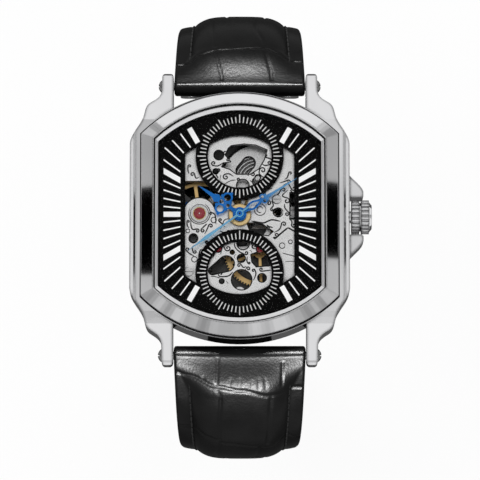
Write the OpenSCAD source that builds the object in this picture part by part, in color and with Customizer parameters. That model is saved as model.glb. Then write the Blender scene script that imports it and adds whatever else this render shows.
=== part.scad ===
// Skeleton wristwatch with a tonneau case, a pierced hand-wound and automatic movement,
// and a padded leather strap that hangs open from the lugs.
// The dial faces +Z, 12 o'clock is +Y and the crown is on +X.
// The origin is the centre of the case back's flat outer face, on the axis of the hands.

/* [Case] */
// Half width of the middle case at 3 and 9 o'clock
case_half_w = 20; // [19:0.1:22]
// Half length of the middle case's curved ends, between the lugs
case_half_l = 22.7; // [22.4:0.1:23.2]
// Thickness of the case back cover
back_t = 1.0; // [0.8:0.1:1.2]
// Height of the middle case's top face, which carries the bezel
case_top = 8.8; // [8.6:0.1:9.2]
// Width of the bevel along the middle case's upper edge
case_bevel = 1.1; // [0.8:0.1:1.3]
// Half length over the tips of the lugs
lug_tip = 27.2; // [26.8:0.1:28]
// Height of the top of the lugs at their tips
lug_tip_top = 4.4; // [4:0.1:5]
// Width of each lug
lug_w = 2.1; // [1.8:0.1:2.4]
// Clear distance between a pair of lugs
lug_gap = 24.2; // [23.8:0.1:24.6]
// Reach of the crown guards from the axis of the hands
guard_reach = 22.5; // [22:0.1:23]

/* [Bezel and crystal] */
// Half width of the bezel
bezel_half_w = 17.9; // [17.7:0.1:18.3]
// Half length of the bezel
bezel_half_l = 22.3; // [22:0.1:22.35]
// Height of the bezel's upright edge above the middle case
bezel_edge = 0.8; // [0.5:0.1:1.1]
// Height of the bezel's crest above the middle case
bezel_rise = 3.0; // [2.7:0.1:3.2]
// Half width of the opening for the crystal
opening_half_w = 15.5; // [15.4:0.05:15.7]
// Half length of the opening for the crystal
opening_half_l = 19.95; // [19.85:0.05:20.1]
// Thickness of the crystal
crystal_t = 1.2; // [1:0.1:1.4]
// Height of the crystal's face above the bezel's crest
crystal_proud = 0.7; // [0.4:0.1:0.9]

/* [Dial] */
// Half width of the dial
dial_half_w = 14.8; // [14.6:0.05:15]
// Half length of the dial
dial_half_l = 19; // [18.8:0.05:19.2]
// Thickness of the dial
dial_t = 0.4; // [0.3:0.05:0.5]
// Half width of the dial's open middle
window_half_w = 9.9; // [9.7:0.1:10.2]
// Distance of each small ring's centre from the hands
ring_offset = 10.7; // [10.5:0.05:10.8]
// Outer radius of each small ring
ring_r = 8; // [7.9:0.05:8.1]
// Radius of the window in each small ring
ring_window_r = 5.8; // [5.6:0.05:5.9]

/* [Hands] */
// Length of the hour hand
hour_hand_l = 9.2; // [8.5:0.1:10]
// Length of the minute hand
minute_hand_l = 12.4; // [11.5:0.1:13]
// Length of the seconds hand
seconds_hand_l = 11.8; // [11:0.1:13]
// Hour shown by the hands
shown_hour = 10; // [0:1:11]
// Minute shown by the hands
shown_minute = 9.65; // [0:0.05:59]
// Second shown by the hands
shown_second = 39; // [0:1:59]

/* [Movement] */
// Radius of the movement
movement_r = 15; // [14.9:0.05:15.1]
// Thickness of the main plate
plate_t = 0.8; // [0.7:0.05:0.9]
// Distance from the centre to the barrel's axis
barrel_d = 7.65; // [7.6:0.01:7.7]
// Distance from the centre to the third wheel's axis
third_d = 7.2; // [7.15:0.01:7.25]
// Distance from the centre to the escape wheel's axis
escape_d = 7.3; // [7.25:0.01:7.35]
// Outer radius of the balance wheel
balance_r = 6.1; // [6:0.05:6.15]
// Radius of the winding rotor
rotor_r = 14.2; // [14:0.1:14.4]
// Running clearance on the radius of every pivot
pivot_gap = 0.03; // [0.02:0.01:0.05]

/* [Crown] */
// Radius of the crown
crown_r = 3.1; // [3:0.05:3.2]
// Length of the crown
crown_l = 3.7; // [3.4:0.1:4]
// Number of flutes round the crown
crown_flutes = 22; // [18:1:26]
// Radius of the winding stem
stem_r = 0.5; // [0.45:0.01:0.55]

/* [Strap] */
// Width of the strap between the lugs
strap_w = 24; // [23.2:0.1:24]
// Width of the strap at its far ends
strap_end_w = 20; // [18:0.5:21]
// Thickness of the strap's flat edges
strap_edge_t = 2.2; // [2:0.1:2.4]
// Height of the strap's padding above its flat edges
strap_pad = 1.6; // [1:0.1:1.8]
// Length of the buckle side of the strap
upper_l = 75; // [70:1:80]
// Length of the strap side with the holes
lower_l = 113; // [105:1:118]
// Outer radius of the strap's roll round the lug bar
roll_r = 1.55; // [1.5:0.05:1.6]
// Radius of the lug bars
bar_r = 0.75; // [0.7:0.05:0.8]
// Number of holes for the buckle's tongue
strap_holes = 7; // [5:1:7]

/* [Hidden] */
$fn = 48;
$fa = 6;
fine = 96;
gap = 0.05;
case_corner = 13.3;
bezel_curve = 7.5;
bezel_corner = bezel_half_l - bezel_curve;
opening_curve = 6.35;
opening_corner = opening_half_l - opening_curve;
dial_curve = 5.8;
dial_corner = dial_half_l - dial_curve;
axis_z = 6;
bar_y = 24.9;
bar_z = 2.3;
body_half_w = 18.7;
body_curve = 7.8;
body_corner = case_half_l - body_curve;
guard_gap = 3.4;
case_bottom = back_t;
bezel_top = case_top + bezel_rise;
crystal_top = bezel_top + crystal_proud;
crystal_bottom = crystal_top - crystal_t;
gasket_t = 0.3;
gasket_seat = crystal_bottom - gasket_t;
seat_w = 0.18;
ledge_t = 0.8;
floor_t = 0.8;
jewel_r = 0.65;
dial_bottom = 9.2;
dial_top = dial_bottom + dial_t;
print_t = 0.06;
cavity_half_w = opening_half_w + 0.1;
cavity_half_l = opening_half_l + 0.1;
back_glass_r = 13.2;
back_glass_t = 0.9;
back_screw_r = 0.9;
back_screw_inset = [4.3, 6.8];
back_screw_x = body_half_w - back_screw_inset[0];
back_screw_y = case_half_l - back_screw_inset[1];

// Levels of the movement, from the back to the dial
rotor_z = 1.9;
rotor_t = 0.4;
rotor_rim_t = 1.0;
bridge_z = 3.3;
bridge_t = 0.35;
ratchet_z = 3.35;
ratchet_t = 0.3;
barrel_bridge_z = 3.75;
barrel_bridge_t = 0.4;
fourth_z = 3.85;
wheel_t = 0.2;
barrel_z = 4.25;
barrel_h = 1.35;
barrel_teeth_t = 0.45;
third_z = 4.45;
cock_z = 4.2;
cock_t = 0.5;
hairspring_z = 5.1;
hairspring_h = 0.25;
balance_z = 5.75;
balance_t = 0.45;
centre_z = 6.35;
pallet_bridge_z = 6.35;
pallet_bridge_t = 0.3;
escape_z = 6.85;
plate_z = 7.9;
plate_top = plate_z + plate_t;

// Teeth of the going train and the motion work
barrel_n = 84;
centre_pinion_n = 12;
centre_n = 80;
third_pinion_n = 10;
third_n = 75;
fourth_pinion_n = 10;
fourth_n = 70;
escape_pinion_n = 7;
escape_n = 15;
cannon_n = 12;
minute_wheel_n = 36;
minute_pinion_n = 10;
hour_wheel_n = 40;
ratchet_n = 52;
crown_wheel_n = 30;
winding_wheel_n = 18;
contrate_n = 17;
winding_pinion_n = 14;

// Directions of the wheels from the centre
barrel_a = 64.5;
third_a = -59.7;
escape_a = -122.3;
minute_wheel_a = 100;
minute_wheel_d = 2.6;
barrel_at = barrel_d * [cos(barrel_a), sin(barrel_a)];
third_at = third_d * [cos(third_a), sin(third_a)];
escape_at = escape_d * [cos(escape_a), sin(escape_a)];
minute_wheel_at = minute_wheel_d * [cos(minute_wheel_a), sin(minute_wheel_a)];
balance_at = [-7.3, 0.3];
pallet_a = 150;
pallet_d = 2.4;
pallet_at = escape_at + pallet_d * [cos(pallet_a), sin(pallet_a)];
// Winding wheels in line from the crown wheel, on the stem's axis, to the barrel
winding_module = 0.16;
crown_wheel_r = winding_module * crown_wheel_n / 2;
winding_wheel_r = winding_module * winding_wheel_n / 2;
ratchet_r = winding_module * ratchet_n / 2;
winding_d = crown_wheel_r + 2 * winding_wheel_r + ratchet_r;
crown_wheel_at = [barrel_at[0] + sqrt(winding_d * winding_d - barrel_at[1] * barrel_at[1]), 0];
winding_a = atan2(barrel_at[1] - crown_wheel_at[1], barrel_at[0] - crown_wheel_at[0]);
winding_wheel_at = crown_wheel_at + (crown_wheel_r + winding_wheel_r) * [cos(winding_a), sin(winding_a)];
winding_pillar_at = [13.2, 3.4];
contrate_r = 2.0;
contrate_h = 0.4;
winding_pinion_r = axis_z - ratchet_z - ratchet_t - contrate_h - 0.12;
winding_pinion_l = 1.1;
setting_x = crown_wheel_at[0] - 0.1;
setting_post_at = [setting_x + 0.5, -3.6];
stem_in = 8.5;
click_a = 118;
click_at = barrel_at + (ratchet_r + 1.6) * [cos(click_a), sin(click_a)];

// Pitch radii worked out from the centre distances and the teeth
barrel_pr = barrel_d * barrel_n / (barrel_n + centre_pinion_n);
centre_pinion_pr = barrel_d - barrel_pr;
centre_pr = third_d * centre_n / (centre_n + third_pinion_n);
third_pinion_pr = third_d - centre_pr;
third_pr = third_d * third_n / (third_n + fourth_pinion_n);
fourth_pinion_pr = third_d - third_pr;
fourth_pr = escape_d * fourth_n / (fourth_n + escape_pinion_n);
escape_pinion_pr = escape_d - fourth_pr;
minute_wheel_pr = minute_wheel_d * minute_wheel_n / (minute_wheel_n + cannon_n);
cannon_pr = minute_wheel_d - minute_wheel_pr;
hour_wheel_pr = minute_wheel_d * hour_wheel_n / (hour_wheel_n + minute_pinion_n);
minute_pinion_pr = minute_wheel_d - hour_wheel_pr;
escape_r = 1.95;

// Radii of the arbors
seconds_arbor_r = 0.16;
centre_arbor_r = 0.36;
cannon_r = 0.52;
hour_pipe_r = 0.8;
arbor_r = 0.22;
pivot_r = 0.12;
staff_r = 0.25;
barrel_arbor_r = 0.7;

// Directions of the hands, anticlockwise from +X
minute_hand_a = 90 - 6 * shown_minute;
hour_hand_a = 90 - 30 * (shown_hour + shown_minute / 60);
seconds_hand_a = 90 - 6 * shown_second;
hour_hand_z = 9.95;
minute_hand_z = 10.4;
seconds_hand_z = 10.75;
hand_t = 0.16;

// Course of the straps, from the lug bar down
strap_start = 20;
strap_bend = 21.3;
upper_turn = 90;
lower_turn = 92;
lower_bend = 150;
strap_rings = 34;
strap_pad_w = 17.2;
pad_end = 52;
hole_pitch = 6.5;
hole_r = 1.0;
first_hole = 28;

// Points of a cubic curve from a to d
function curve(a, b, c, d, n) = [for (i = [0:n]) let (t = i / n, s = 1 - t)
    s * s * s * a + 3 * s * s * t * b + 3 * s * t * t * c + t * t * t * d];
function polar(r, a) = [r * cos(a), r * sin(a)];

// Outline with straight sides, curved ends and four corners
module tonneau(half_w, corner, half_l) {
    rise = half_l - corner;
    end_r = (half_w * half_w + rise * rise) / (2 * rise);
    intersection() {
        square([2 * half_w, 2 * half_l], center = true);
        translate([0, half_l - end_r]) circle(end_r, $fn = 2 * fine);
        translate([0, end_r - half_l]) circle(end_r, $fn = 2 * fine);
    }
}

module slab(z, t) {
    translate([0, 0, z]) linear_extrude(t) children();
}

module rod(at, r, z0, z1) {
    translate([at[0], at[1], z0]) cylinder(h = z1 - z0, r = r);
}

// Toothed outline with straight-flanked teeth, first tooth at angle phase
module gear_outline(n, pitch_r, add, ded, phase) {
    step = 360 / n;
    polygon([for (i = [0:n - 1], k = [0:3])
        let (low = pitch_r - ded, high = pitch_r + add, a = phase + i * step)
        polar(k == 0 || k == 3 ? low : high, a + step * [-0.27, -0.1, 0.1, 0.27][k])]);
}

// Tooth angle of a wheel in direction a from its mate, whose first tooth is at mate_phase
function mesh_phase(a, mate_phase, mate_n, n) =
    a + 180 + (((a - mate_phase) * mate_n / 360) % 1 + 0.5) * 360 / n;

// Wheel with a rim, spokes and a hub
module wheel(n, pitch_r, phase, z, t, spokes, rim = 0.75, hub = 1.1, spoke_w = 0.5) {
    module_size = 2 * pitch_r / n;
    slab(z, t) {
        difference() {
            gear_outline(n, pitch_r, 0.75 * module_size, 1.0 * module_size, phase);
            difference() {
                circle(pitch_r - module_size - rim);
                circle(hub);
                for (i = [0:spokes - 1]) rotate(phase + 360 * i / spokes)
                    translate([0, -spoke_w / 2]) square([pitch_r, spoke_w]);
            }
        }
    }
}

module pinion(n, pitch_r, phase, z, t) {
    module_size = 2 * pitch_r / n;
    slab(z, t) gear_outline(n, pitch_r, 0.75 * module_size, 1.0 * module_size, phase);
}

// Outline of the middle case's right upper shoulder and lug
lug_in = lug_gap / 2;
lug_out = lug_in + lug_w;
shoulder_points = concat(
    curve([case_half_w, case_corner], [case_half_w - 0.1, 14.9], [18.3, 16.2], [17.55, 18], 8),
    curve([17.5, 18.2], [17.1, 19.6], [17.2, 20.4], [16, 21.05], 6),
    curve([15.9, 21.1], [14.9, 21.7], [lug_out + 0.1, 22.2], [lug_out, 23.4], 6),
    [for (i = [0:6]) [lug_in + lug_w / 2, lug_tip - lug_w / 2] + polar(lug_w / 2, 30 * i)],
    [[lug_in, 19]]);

module lug_outline() {
    polygon(concat([[lug_in, 0], [case_half_w, 0]], shoulder_points));
}

// Side profile of the lugs, which slope down from the case to their tips
module lug_profile() {
    polygon(concat(
        [[0, case_bottom + 0.4], [0, case_top]],
        curve([17.6, case_top], [20.5, case_top - 0.4], [23.6, 7.4], [lug_tip - 1, lug_tip_top + 0.9], 8),
        curve([lug_tip - 0.7, lug_tip_top + 0.5], [lug_tip + 0.2, lug_tip_top - 0.5],
            [lug_tip + 0.2, 1.2], [lug_tip - 1.4, 0.45], 6),
        [[lug_tip - 4, 0.5], [20.5, case_bottom + 0.4]]));
}

// Cross profile of the middle case, whose upper edges have a narrow bevel and a nearly level land
module cross_profile() {
    bevel_depth = 0.4;
    land_drop = 0.2;
    right = [[case_half_w - 0.5, case_bottom], [case_half_w, case_bottom + 0.6],
        [case_half_w, case_top - bevel_depth - land_drop],
        [case_half_w - case_bevel + bevel_depth, case_top - bevel_depth],
        [case_half_w - case_bevel, case_top + 0.01]];
    polygon(concat(right, [for (i = [len(right) - 1:-1:0]) [-right[i][0], right[i][1]]]));
}

module quarter_shoulders() {
    for (side = [0, 1], end = [0, 1]) mirror([side, 0, 0]) mirror([0, end, 0])
        intersection() {
            slab(0, case_top) lug_outline();
            rotate([90, 0, 90]) linear_extrude(case_half_w + 1) lug_profile();
            rotate([90, 0, 0]) translate([0, 0, -lug_tip - 1])
                linear_extrude(2 * lug_tip + 2) cross_profile();
        }
}

module crown_guard() {
    guard_end = case_half_w - 1.5;
    translate([0, 0, axis_z - 2.9]) linear_extrude(4.6) polygon(concat(
        [[guard_end, guard_gap]],
        [[guard_reach - 0.3, guard_gap], [guard_reach, guard_gap + 0.3]],
        curve([guard_reach, guard_gap + 1.1], [guard_reach - 0.3, 5.6],
            [case_half_w + 0.6, 6.6], [case_half_w - 0.2, 7.7], 6),
        [[guard_end, 7.7]]));
}

module mid_case() {
    color("silver") difference() {
        union() {
            slab(case_bottom, case_top - case_bottom)
                tonneau(body_half_w, body_corner, case_half_l);
            quarter_shoulders();
            crown_guard();
            mirror([0, 1, 0]) crown_guard();
        }
        slab(case_bottom + floor_t, case_top) tonneau(cavity_half_w, opening_corner, cavity_half_l);
        slab(0, case_top) circle(movement_r + 0.3, $fn = fine);
        translate([case_half_w - 6, 0, axis_z]) rotate([0, 90, 0]) cylinder(h = 8, r = tube_r);
        lug_bar_holes();
        back_screw_places() cylinder(h = case_bottom + floor_t + 0.1, r = back_screw_shank + pivot_gap);
        for (end = [-1, 1]) translate([-lug_in, end * (case_half_l + 3) - 3, -1])
            cube([2 * lug_in, 6, 3 * case_top]);
    }
}

tube_r = 1.1;
back_screw_shank = 0.5;

module back_screw_places() {
    for (x = [-1, 1], y = [-1, 1]) translate([x * back_screw_x, y * back_screw_y, 0]) children();
}

module lug_bar_holes() {
    for (end = [-1, 1]) translate([-lug_out - 1, end * bar_y, bar_z])
        rotate([0, 90, 0]) cylinder(h = 2 * lug_out + 2, r = bar_r + pivot_gap);
}

module lug_bars() {
    color("dimgray") for (end = [-1, 1]) translate([0, end * bar_y, bar_z]) rotate([0, 90, 0]) {
        cylinder(h = 2 * lug_out, r = bar_r, center = true);
        for (side = [0, 1]) mirror([0, 0, side]) translate([0, 0, lug_out]) difference() {
            intersection() {
                cylinder(h = 0.7, r = 1.15);
                translate([0, 0, -0.75]) sphere(1.45);
            }
            translate([-2, -0.15, 0.4]) cube([4, 0.3, 1]);
        }
    }
}

module bezel_opening(grow, z, t) {
    slab(z, t) tonneau(opening_half_w + grow, opening_corner, opening_half_l + grow);
}

module bezel() {
    edge_top = case_top + bezel_edge;
    crest = 0.15;
    color("silver") difference() {
        hull() {
            slab(case_top, bezel_edge) tonneau(bezel_half_w, bezel_corner, bezel_half_l);
            slab(edge_top, bezel_rise - bezel_edge)
                tonneau(opening_half_w + crest, opening_corner + 0.2, opening_half_l + crest);
        }
        bezel_opening(gap, gasket_seat, 5);
        bezel_opening(-seat_w, case_top - 1, 5);
        bezel_opening(0.1, case_top - 1, gasket_seat - ledge_t - case_top + 1);
    }
}

module crystal() {
    bevel = 0.25;
    color("lightblue", 0.3) union() {
        bezel_opening(0, crystal_bottom, crystal_t - bevel);
        hull() {
            bezel_opening(0, crystal_top - bevel - 0.01, 0.01);
            bezel_opening(-bevel, crystal_top - 0.01, 0.01);
        }
    }
}

module crystal_gasket() {
    color("black") difference() {
        bezel_opening(0, gasket_seat, gasket_t);
        bezel_opening(-seat_w, gasket_seat - 1, 3);
    }
}

// Ring between the crystal's seat and the dial, held under the bezel's ledge, with a sloping top
module inner_ring() {
    flange_top = gasket_seat - ledge_t;
    slope_h = 0.3;
    lip_w = 0.1;
    color("silver") difference() {
        union() {
            bezel_opening(gap, dial_top, flange_top - dial_top);
            bezel_opening(-seat_w - gap, flange_top - 0.01, gasket_seat - flange_top + 0.01);
        }
        slab(dial_top - 1, 5) tonneau(dial_half_w, dial_corner, dial_half_l);
        hull() {
            slab(gasket_seat - slope_h, 0.01) tonneau(dial_half_w, dial_corner, dial_half_l);
            bezel_opening(-seat_w - gap - lip_w, gasket_seat, 0.01);
        }
    }
}

// Opening of one small ring, cut off by a gentle arc on its outer side
module ring_window() {
    cut = 3.85;
    sag = 0.9;
    arc_r = (cut * cut + sag * sag) / (2 * sag) + 1;
    offset(r = 1, $fn = 32) offset(delta = -1) intersection() {
        circle(ring_window_r, $fn = fine);
        translate([0, cut - arc_r]) circle(arc_r, $fn = fine);
    }
}

module dial_window() {
    corner_y = 11.2;
    top_x = 7.9;
    top_y = 12.5;
    polygon([[window_half_w, -corner_y], [window_half_w, corner_y], [top_x, top_y],
        [-top_x, top_y], [-window_half_w, corner_y], [-window_half_w, -corner_y],
        [-top_x, -top_y], [top_x, -top_y]]);
}

module dial() {
    color([0.05, 0.05, 0.06]) slab(dial_bottom, dial_t) difference() {
        union() {
            difference() {
                tonneau(cavity_half_w - gap, opening_corner, cavity_half_l - gap);
                dial_window();
            }
            for (y = [-ring_offset, ring_offset]) translate([0, y]) circle(ring_r, $fn = fine);
        }
        for (end = [0, 1]) mirror([0, end]) translate([0, ring_offset]) ring_window();
    }
}

// Radial strips in the band between the dial's window and its edge
module marker_band(w, angles) {
    side_in = 10.75;
    side_out = 13.8;
    corner_in = 15.2;
    corner_out = 18.3;
    slab(dial_top, print_t) intersection() {
        for (a = angles) rotate(a) translate([5, -w / 2]) square([20, w]);
        difference() {
            intersection() {
                square([2 * side_out, 40], center = true);
                circle(corner_out, $fn = fine);
            }
            intersection() {
                square([2 * side_in, 40], center = true);
                circle(corner_in, $fn = fine);
            }
        }
    }
}

module hour_markers() {
    marker_w = 0.94;
    color("white") marker_band(marker_w, [for (h = [1, 2, 3, 4, 5, 7, 8, 9, 10, 11]) 90 - 30 * h]);
}

module minute_ticks() {
    tick_w = 0.24;
    color("white") marker_band(tick_w,
        [for (m = [5:25], s = [0, 180]) if (m % 5 != 0) 90 - 6 * m + s]);
}

module subdial_ticks() {
    long_in = 6.15;
    long_out = 7.7;
    short_out = 7.25;
    tick_w = 0.18;
    color("white") slab(dial_top, print_t)
        for (end = [-1, 1], i = [0:59]) translate([0, end * ring_offset]) rotate(6 * i + 90)
            translate([long_in, -tick_w / 2])
                square([(i % 5 == 0 ? long_out : short_out) - long_in, tick_w]);
}

module movement_ring() {
    color("gray") difference() {
        slab(case_bottom + floor_t, dial_bottom - case_bottom - floor_t)
            tonneau(cavity_half_w - gap, opening_corner, cavity_half_l - gap);
        slab(0, dial_bottom + 1) circle(movement_r + gap, $fn = fine);
        translate([movement_r - 3, 0, axis_z]) rotate([0, 90, 0]) cylinder(h = 6, r = tube_r + gap);
    }
}

// Openings of the main plate that show the wheels and the balance
module plate_windows() {
    // Over the balance's rim, upper left, round the seat of its jewel
    intersection() {
        translate(balance_at) difference() {
            circle(6.5);
            circle(2.9);
        }
        polygon([[-12.6, 1.2], [-12.6, 6.2], [-6.2, 6.2], [-4.0, 4.6], [-3.4, 2.2], [-4.6, 1.0], [-6, 1.6]]);
    }
    // Over the barrel, inside the upper ring
    polygon([[-2.1, 12.3], [-1.5, 12.8], [0.8, 13.1], [2.9, 12.9], [5.0, 12.0], [4.5, 10.2], [3.5, 8.5],
        [1.9, 7.5], [-0.6, 7.5], [-1.8, 8.4], [-3.3, 8.9], [-2.9, 9.6], [-1.6, 9.8], [-2.6, 11.0]]);
    // Over the centre wheel's teeth
    polygon([[1.3, -1.5], [2.6, -1.4], [4.2, -1.7], [6.1, -3.0], [5.2, -3.8], [3.2, -3.5], [1.8, -2.8]]);
    // Slot over the winding works
    translate([9.65, 1.7]) square([1.1, 4.9], center = true);
    // Lower ring: cut-out over the fourth wheel, opening over the third wheel
    hull() {
        translate([-2.4, -8.9]) circle(1.45);
        translate([-4.9, -10.2]) circle(0.75);
    }
    polygon([[2.0, -7.2], [4.4, -6.3], [5.9, -7.4], [5.5, -9.3], [3.0, -9.5], [2.2, -8.6]]);
    // Round holes: place and radius of each
    for (h = [[0.36, -11.85, 1.87], [0.62, -5.2, 1.16], [0.3, -7.93, 0.75], [-1.34, -6.8, 0.39],
        [4.04, -11.5, 0.8], [-3.25, -12.1, 0.45], [-3.8, 11.05, 0.9], [-4.35, 8.06, 0.5],
        [0.56, 5.45, 1.15], [3.0, 6.2, 0.7], [-8.4, -4.3, 0.8], [6.83, 0.52, 0.75]])
        translate([h[0], h[1]]) circle(h[2], $fn = 36);
}

module main_plate() {
    color("lightgray") difference() {
        union() {
            slab(plate_z, plate_t) circle(movement_r, $fn = fine);
            // Rim and pillars that carry the bridges
            slab(barrel_bridge_z + barrel_bridge_t, plate_z - barrel_bridge_z - barrel_bridge_t + 0.01)
                plate_rim();
            slab(bridge_z + bridge_t, plate_z - bridge_z - bridge_t + 0.01) train_pillars();
            rod(pallet_post_at, 0.7, pallet_bridge_z + pallet_bridge_t, plate_z + 0.01);
            rod(cock_post_at, 1.1, cock_z + cock_t, plate_z + 0.01);
            translate([stem_block_x, -1.3, axis_z - 1.3]) cube([1.6, 2.6, plate_z - axis_z + 1.31]);
            rod(setting_post_at, 0.3, setting_z - 0.1, plate_z + 0.01);
        }
        slab(plate_z - 1, plate_t + 2) plate_windows();
        for (p = [escape_at, third_at]) {
            rod(p, arbor_r + pivot_gap, plate_z - 1, plate_top + 1);
            rod(p, jewel_r + 0.01, plate_top - 0.3, plate_top + 1);
        }
        rod([0, 0], centre_arbor_r + pivot_gap, plate_z - 1, plate_top + 1);
        rod([0, 0], cannon_r + 0.08, plate_top - 0.35, plate_top + 1);
        rod(minute_wheel_at, arbor_r + pivot_gap, plate_z - 1, plate_top + 1);
        rod(pallet_at, arbor_r + pivot_gap, plate_z - 1, plate_top + 1);
        rod(barrel_at, barrel_arbor_r - 0.2 + pivot_gap, plate_z - 1, plate_top + 1);
        rod(balance_at, 1.62, plate_z - 1, plate_top + 1);
        translate([8, 0, axis_z]) rotate([0, 90, 0]) cylinder(h = 10, r = stem_r + pivot_gap);
        for (p = plate_screws) rod(p, screw_shank + pivot_gap, plate_top - 0.5, plate_top + 1);
    }
}

stem_block_x = 12.9;
setting_z = axis_z - 0.9;
pallet_post_at = pallet_at + polar(2.8, 235);
cock_post_at = [-12.6, 5.6];
screw_shank = 0.35;
plate_screws = [[-11.6, 8.2], [11.6, 8.2], [11.9, -7.6], [-9.2, -10.4], [6.8, 2.86]];

// Upright rim of the main plate over the barrel bridge
module plate_rim() {
    rim_w = 1.2;
    rim_y = 8.2;
    intersection() {
        difference() {
            circle(movement_r, $fn = fine);
            circle(movement_r - rim_w, $fn = fine);
        }
        difference() {
            translate([-movement_r, rim_y]) square([2 * movement_r, movement_r]);
            translate(barrel_at) circle(barrel_pr + 0.5, $fn = fine);
        }
    }
}

// Pillars under the train bridge's screws
train_pillar_at = [[-11.3, -8.1], [11.3, -8.1], [0, -13.9]];
module train_pillars() {
    for (p = train_pillar_at) translate(p) circle(1.0);
}

module train_bridge() {
    color("silver") difference() {
        slab(bridge_z, bridge_t) difference() {
            intersection() {
                circle(movement_r, $fn = fine);
                union() {
                    translate([-14, -16]) square([28, 14.2]);
                    circle(2.6);
                }
            }
            translate([balance_at[0], balance_at[1]]) circle(6.6);
            translate([7.6, -10.2]) circle(1.6);
            translate([-7.6, -11.2]) circle(1.2);
            translate(crown_wheel_at) circle(crown_wheel_r + 0.6);
        }
        for (p = [escape_at, third_at, [0, 0]]) rod(p, pivot_r + pivot_gap, 0, 9);
        for (p = train_pillar_at) rod(p, screw_shank + pivot_gap, 0, 9);
    }
}

// Bridge over the barrel, with a finger below that carries the winding wheels
module barrel_bridge() {
    finger_z = 3.0;
    finger_t = 0.3;
    stud_top = ratchet_z + ratchet_t - 0.02;
    color("silver") {
        difference() {
            slab(barrel_bridge_z, barrel_bridge_t) difference() {
                intersection() {
                    circle(movement_r, $fn = fine);
                    translate([-14, 0.3]) square([29, 20]);
                }
                circle(fourth_pr + 0.55);
                translate(balance_at) circle(balance_r + 0.6);
                translate(crown_wheel_at) circle(crown_wheel_r + 0.5);
                translate([-15, 0]) square([5, 7.2]);
            }
            rod(barrel_at, barrel_arbor_r + pivot_gap, 0, 9);
            for (p = barrel_bridge_screws) rod(p, screw_shank + pivot_gap, 0, 9);
        }
        rod(click_at, 0.3, ratchet_z, barrel_bridge_z + 0.01);
        slab(finger_z, finger_t) hull() {
            translate(crown_wheel_at) circle(1.0, $fn = 32);
            translate(winding_wheel_at) circle(0.8, $fn = 32);
            translate(winding_pillar_at) circle(0.8, $fn = 32);
        }
        rod(winding_pillar_at, 0.7, finger_z, barrel_bridge_z + 0.01);
        rod(crown_wheel_at, stud_r, finger_z, stud_top);
        rod(winding_wheel_at, stud_r, finger_z, stud_top);
    }
}
stud_r = 0.45;
barrel_bridge_screws = [[-6.5, 12.5], [9.4, 10.5]];

module balance_cock() {
    color("silver") difference() {
        slab(cock_z, cock_t) {
            hull() {
                translate(balance_at) circle(1.2, $fn = 32);
                translate(cock_post_at) circle(1.1, $fn = 32);
            }
        }
        rod(balance_at, pivot_r + pivot_gap, cock_z - 1, cock_z + 2);
        rod(cock_post_at, screw_shank + pivot_gap, cock_z - 1, cock_z + 2);
    }
}

module pallet_bridge() {
    color("silver") difference() {
        slab(pallet_bridge_z, pallet_bridge_t) hull() {
            translate(pallet_at) circle(0.6, $fn = 32);
            translate(pallet_post_at) circle(0.8, $fn = 32);
        }
        rod(pallet_at, pivot_r + pivot_gap, 5, 8);
        rod(pallet_post_at, screw_shank + pivot_gap, 5, 8);
    }
}

module jewel_setting() {
    color("gold") difference() {
        rod(balance_at, 1.6, plate_z, plate_top + 0.15);
        rod(balance_at, 0.95, plate_z + 0.4, plate_top + 1);
        rod(balance_at, staff_r + 0.1, plate_z - 1, plate_top + 1);
    }
}

module balance_jewel() {
    color([0.75, 0.1, 0.25]) difference() {
        rod(balance_at, 0.93, plate_z + 0.4, plate_top + 0.1);
        rod(balance_at, pivot_r + pivot_gap, plate_z, plate_z + 0.8);
    }
}

// Jewels pressed in round the pivots of the train
module plate_jewels() {
    color([0.75, 0.1, 0.25]) for (p = [escape_at, third_at]) difference() {
        rod(p, jewel_r, plate_top - 0.3, plate_top);
        rod(p, pivot_r + pivot_gap, plate_z, plate_top + 1);
    }
}

module screw(at, z, up, l) {
    head_r = 0.75;
    head_t = 0.3;
    translate([at[0], at[1], z]) mirror([0, 0, up ? 0 : 1]) {
        difference() {
            cylinder(h = head_t, r = head_r);
            translate([-1, -0.08, head_t - 0.12]) cube([2, 0.16, 1]);
        }
        translate([0, 0, -l]) cylinder(h = l + 0.01, r = screw_shank);
    }
}

module movement_screws() {
    color("steelblue") {
        for (p = plate_screws) screw(p, plate_top, true, 0.45);
        for (p = train_pillar_at) screw(p, bridge_z, false, bridge_t);
        for (p = barrel_bridge_screws) screw(p, barrel_bridge_z, false, barrel_bridge_t);
        screw(cock_post_at, cock_z, false, cock_t);
        screw(pallet_post_at, pallet_bridge_z, false, pallet_bridge_t);
    }
}

module back_cover() {
    edge = 0.35;
    half_w = body_half_w - 0.7;
    half_l = case_half_l - 0.7;
    color("silver") difference() {
        union() {
            hull() {
                slab(0, 0.01) tonneau(half_w - edge, body_corner - 0.7, half_l - edge);
                slab(edge, back_t - edge) tonneau(half_w, body_corner - 0.7, half_l);
            }
            slab(back_t - 0.01, floor_t - 0.04) circle(movement_r + 0.25, $fn = fine);
        }
        rod([0, 0], back_glass_r + gap, -1, back_glass_t + 0.2);
        rod([0, 0], back_glass_r - 0.8, -1, 5);
        back_screw_places() cylinder(h = 3, r = back_screw_shank + pivot_gap);
        back_screw_places() translate([0, 0, -1]) cylinder(h = 1.5, r = back_screw_r + gap);
    }
}

module back_glass() {
    color("lightblue", 0.3) rod([0, 0], back_glass_r, 0, back_glass_t);
}

module back_gasket() {
    color("black") difference() {
        rod([0, 0], back_glass_r, back_glass_t, back_glass_t + 0.2);
        rod([0, 0], back_glass_r - 0.8, 0, 5);
    }
}

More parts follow.
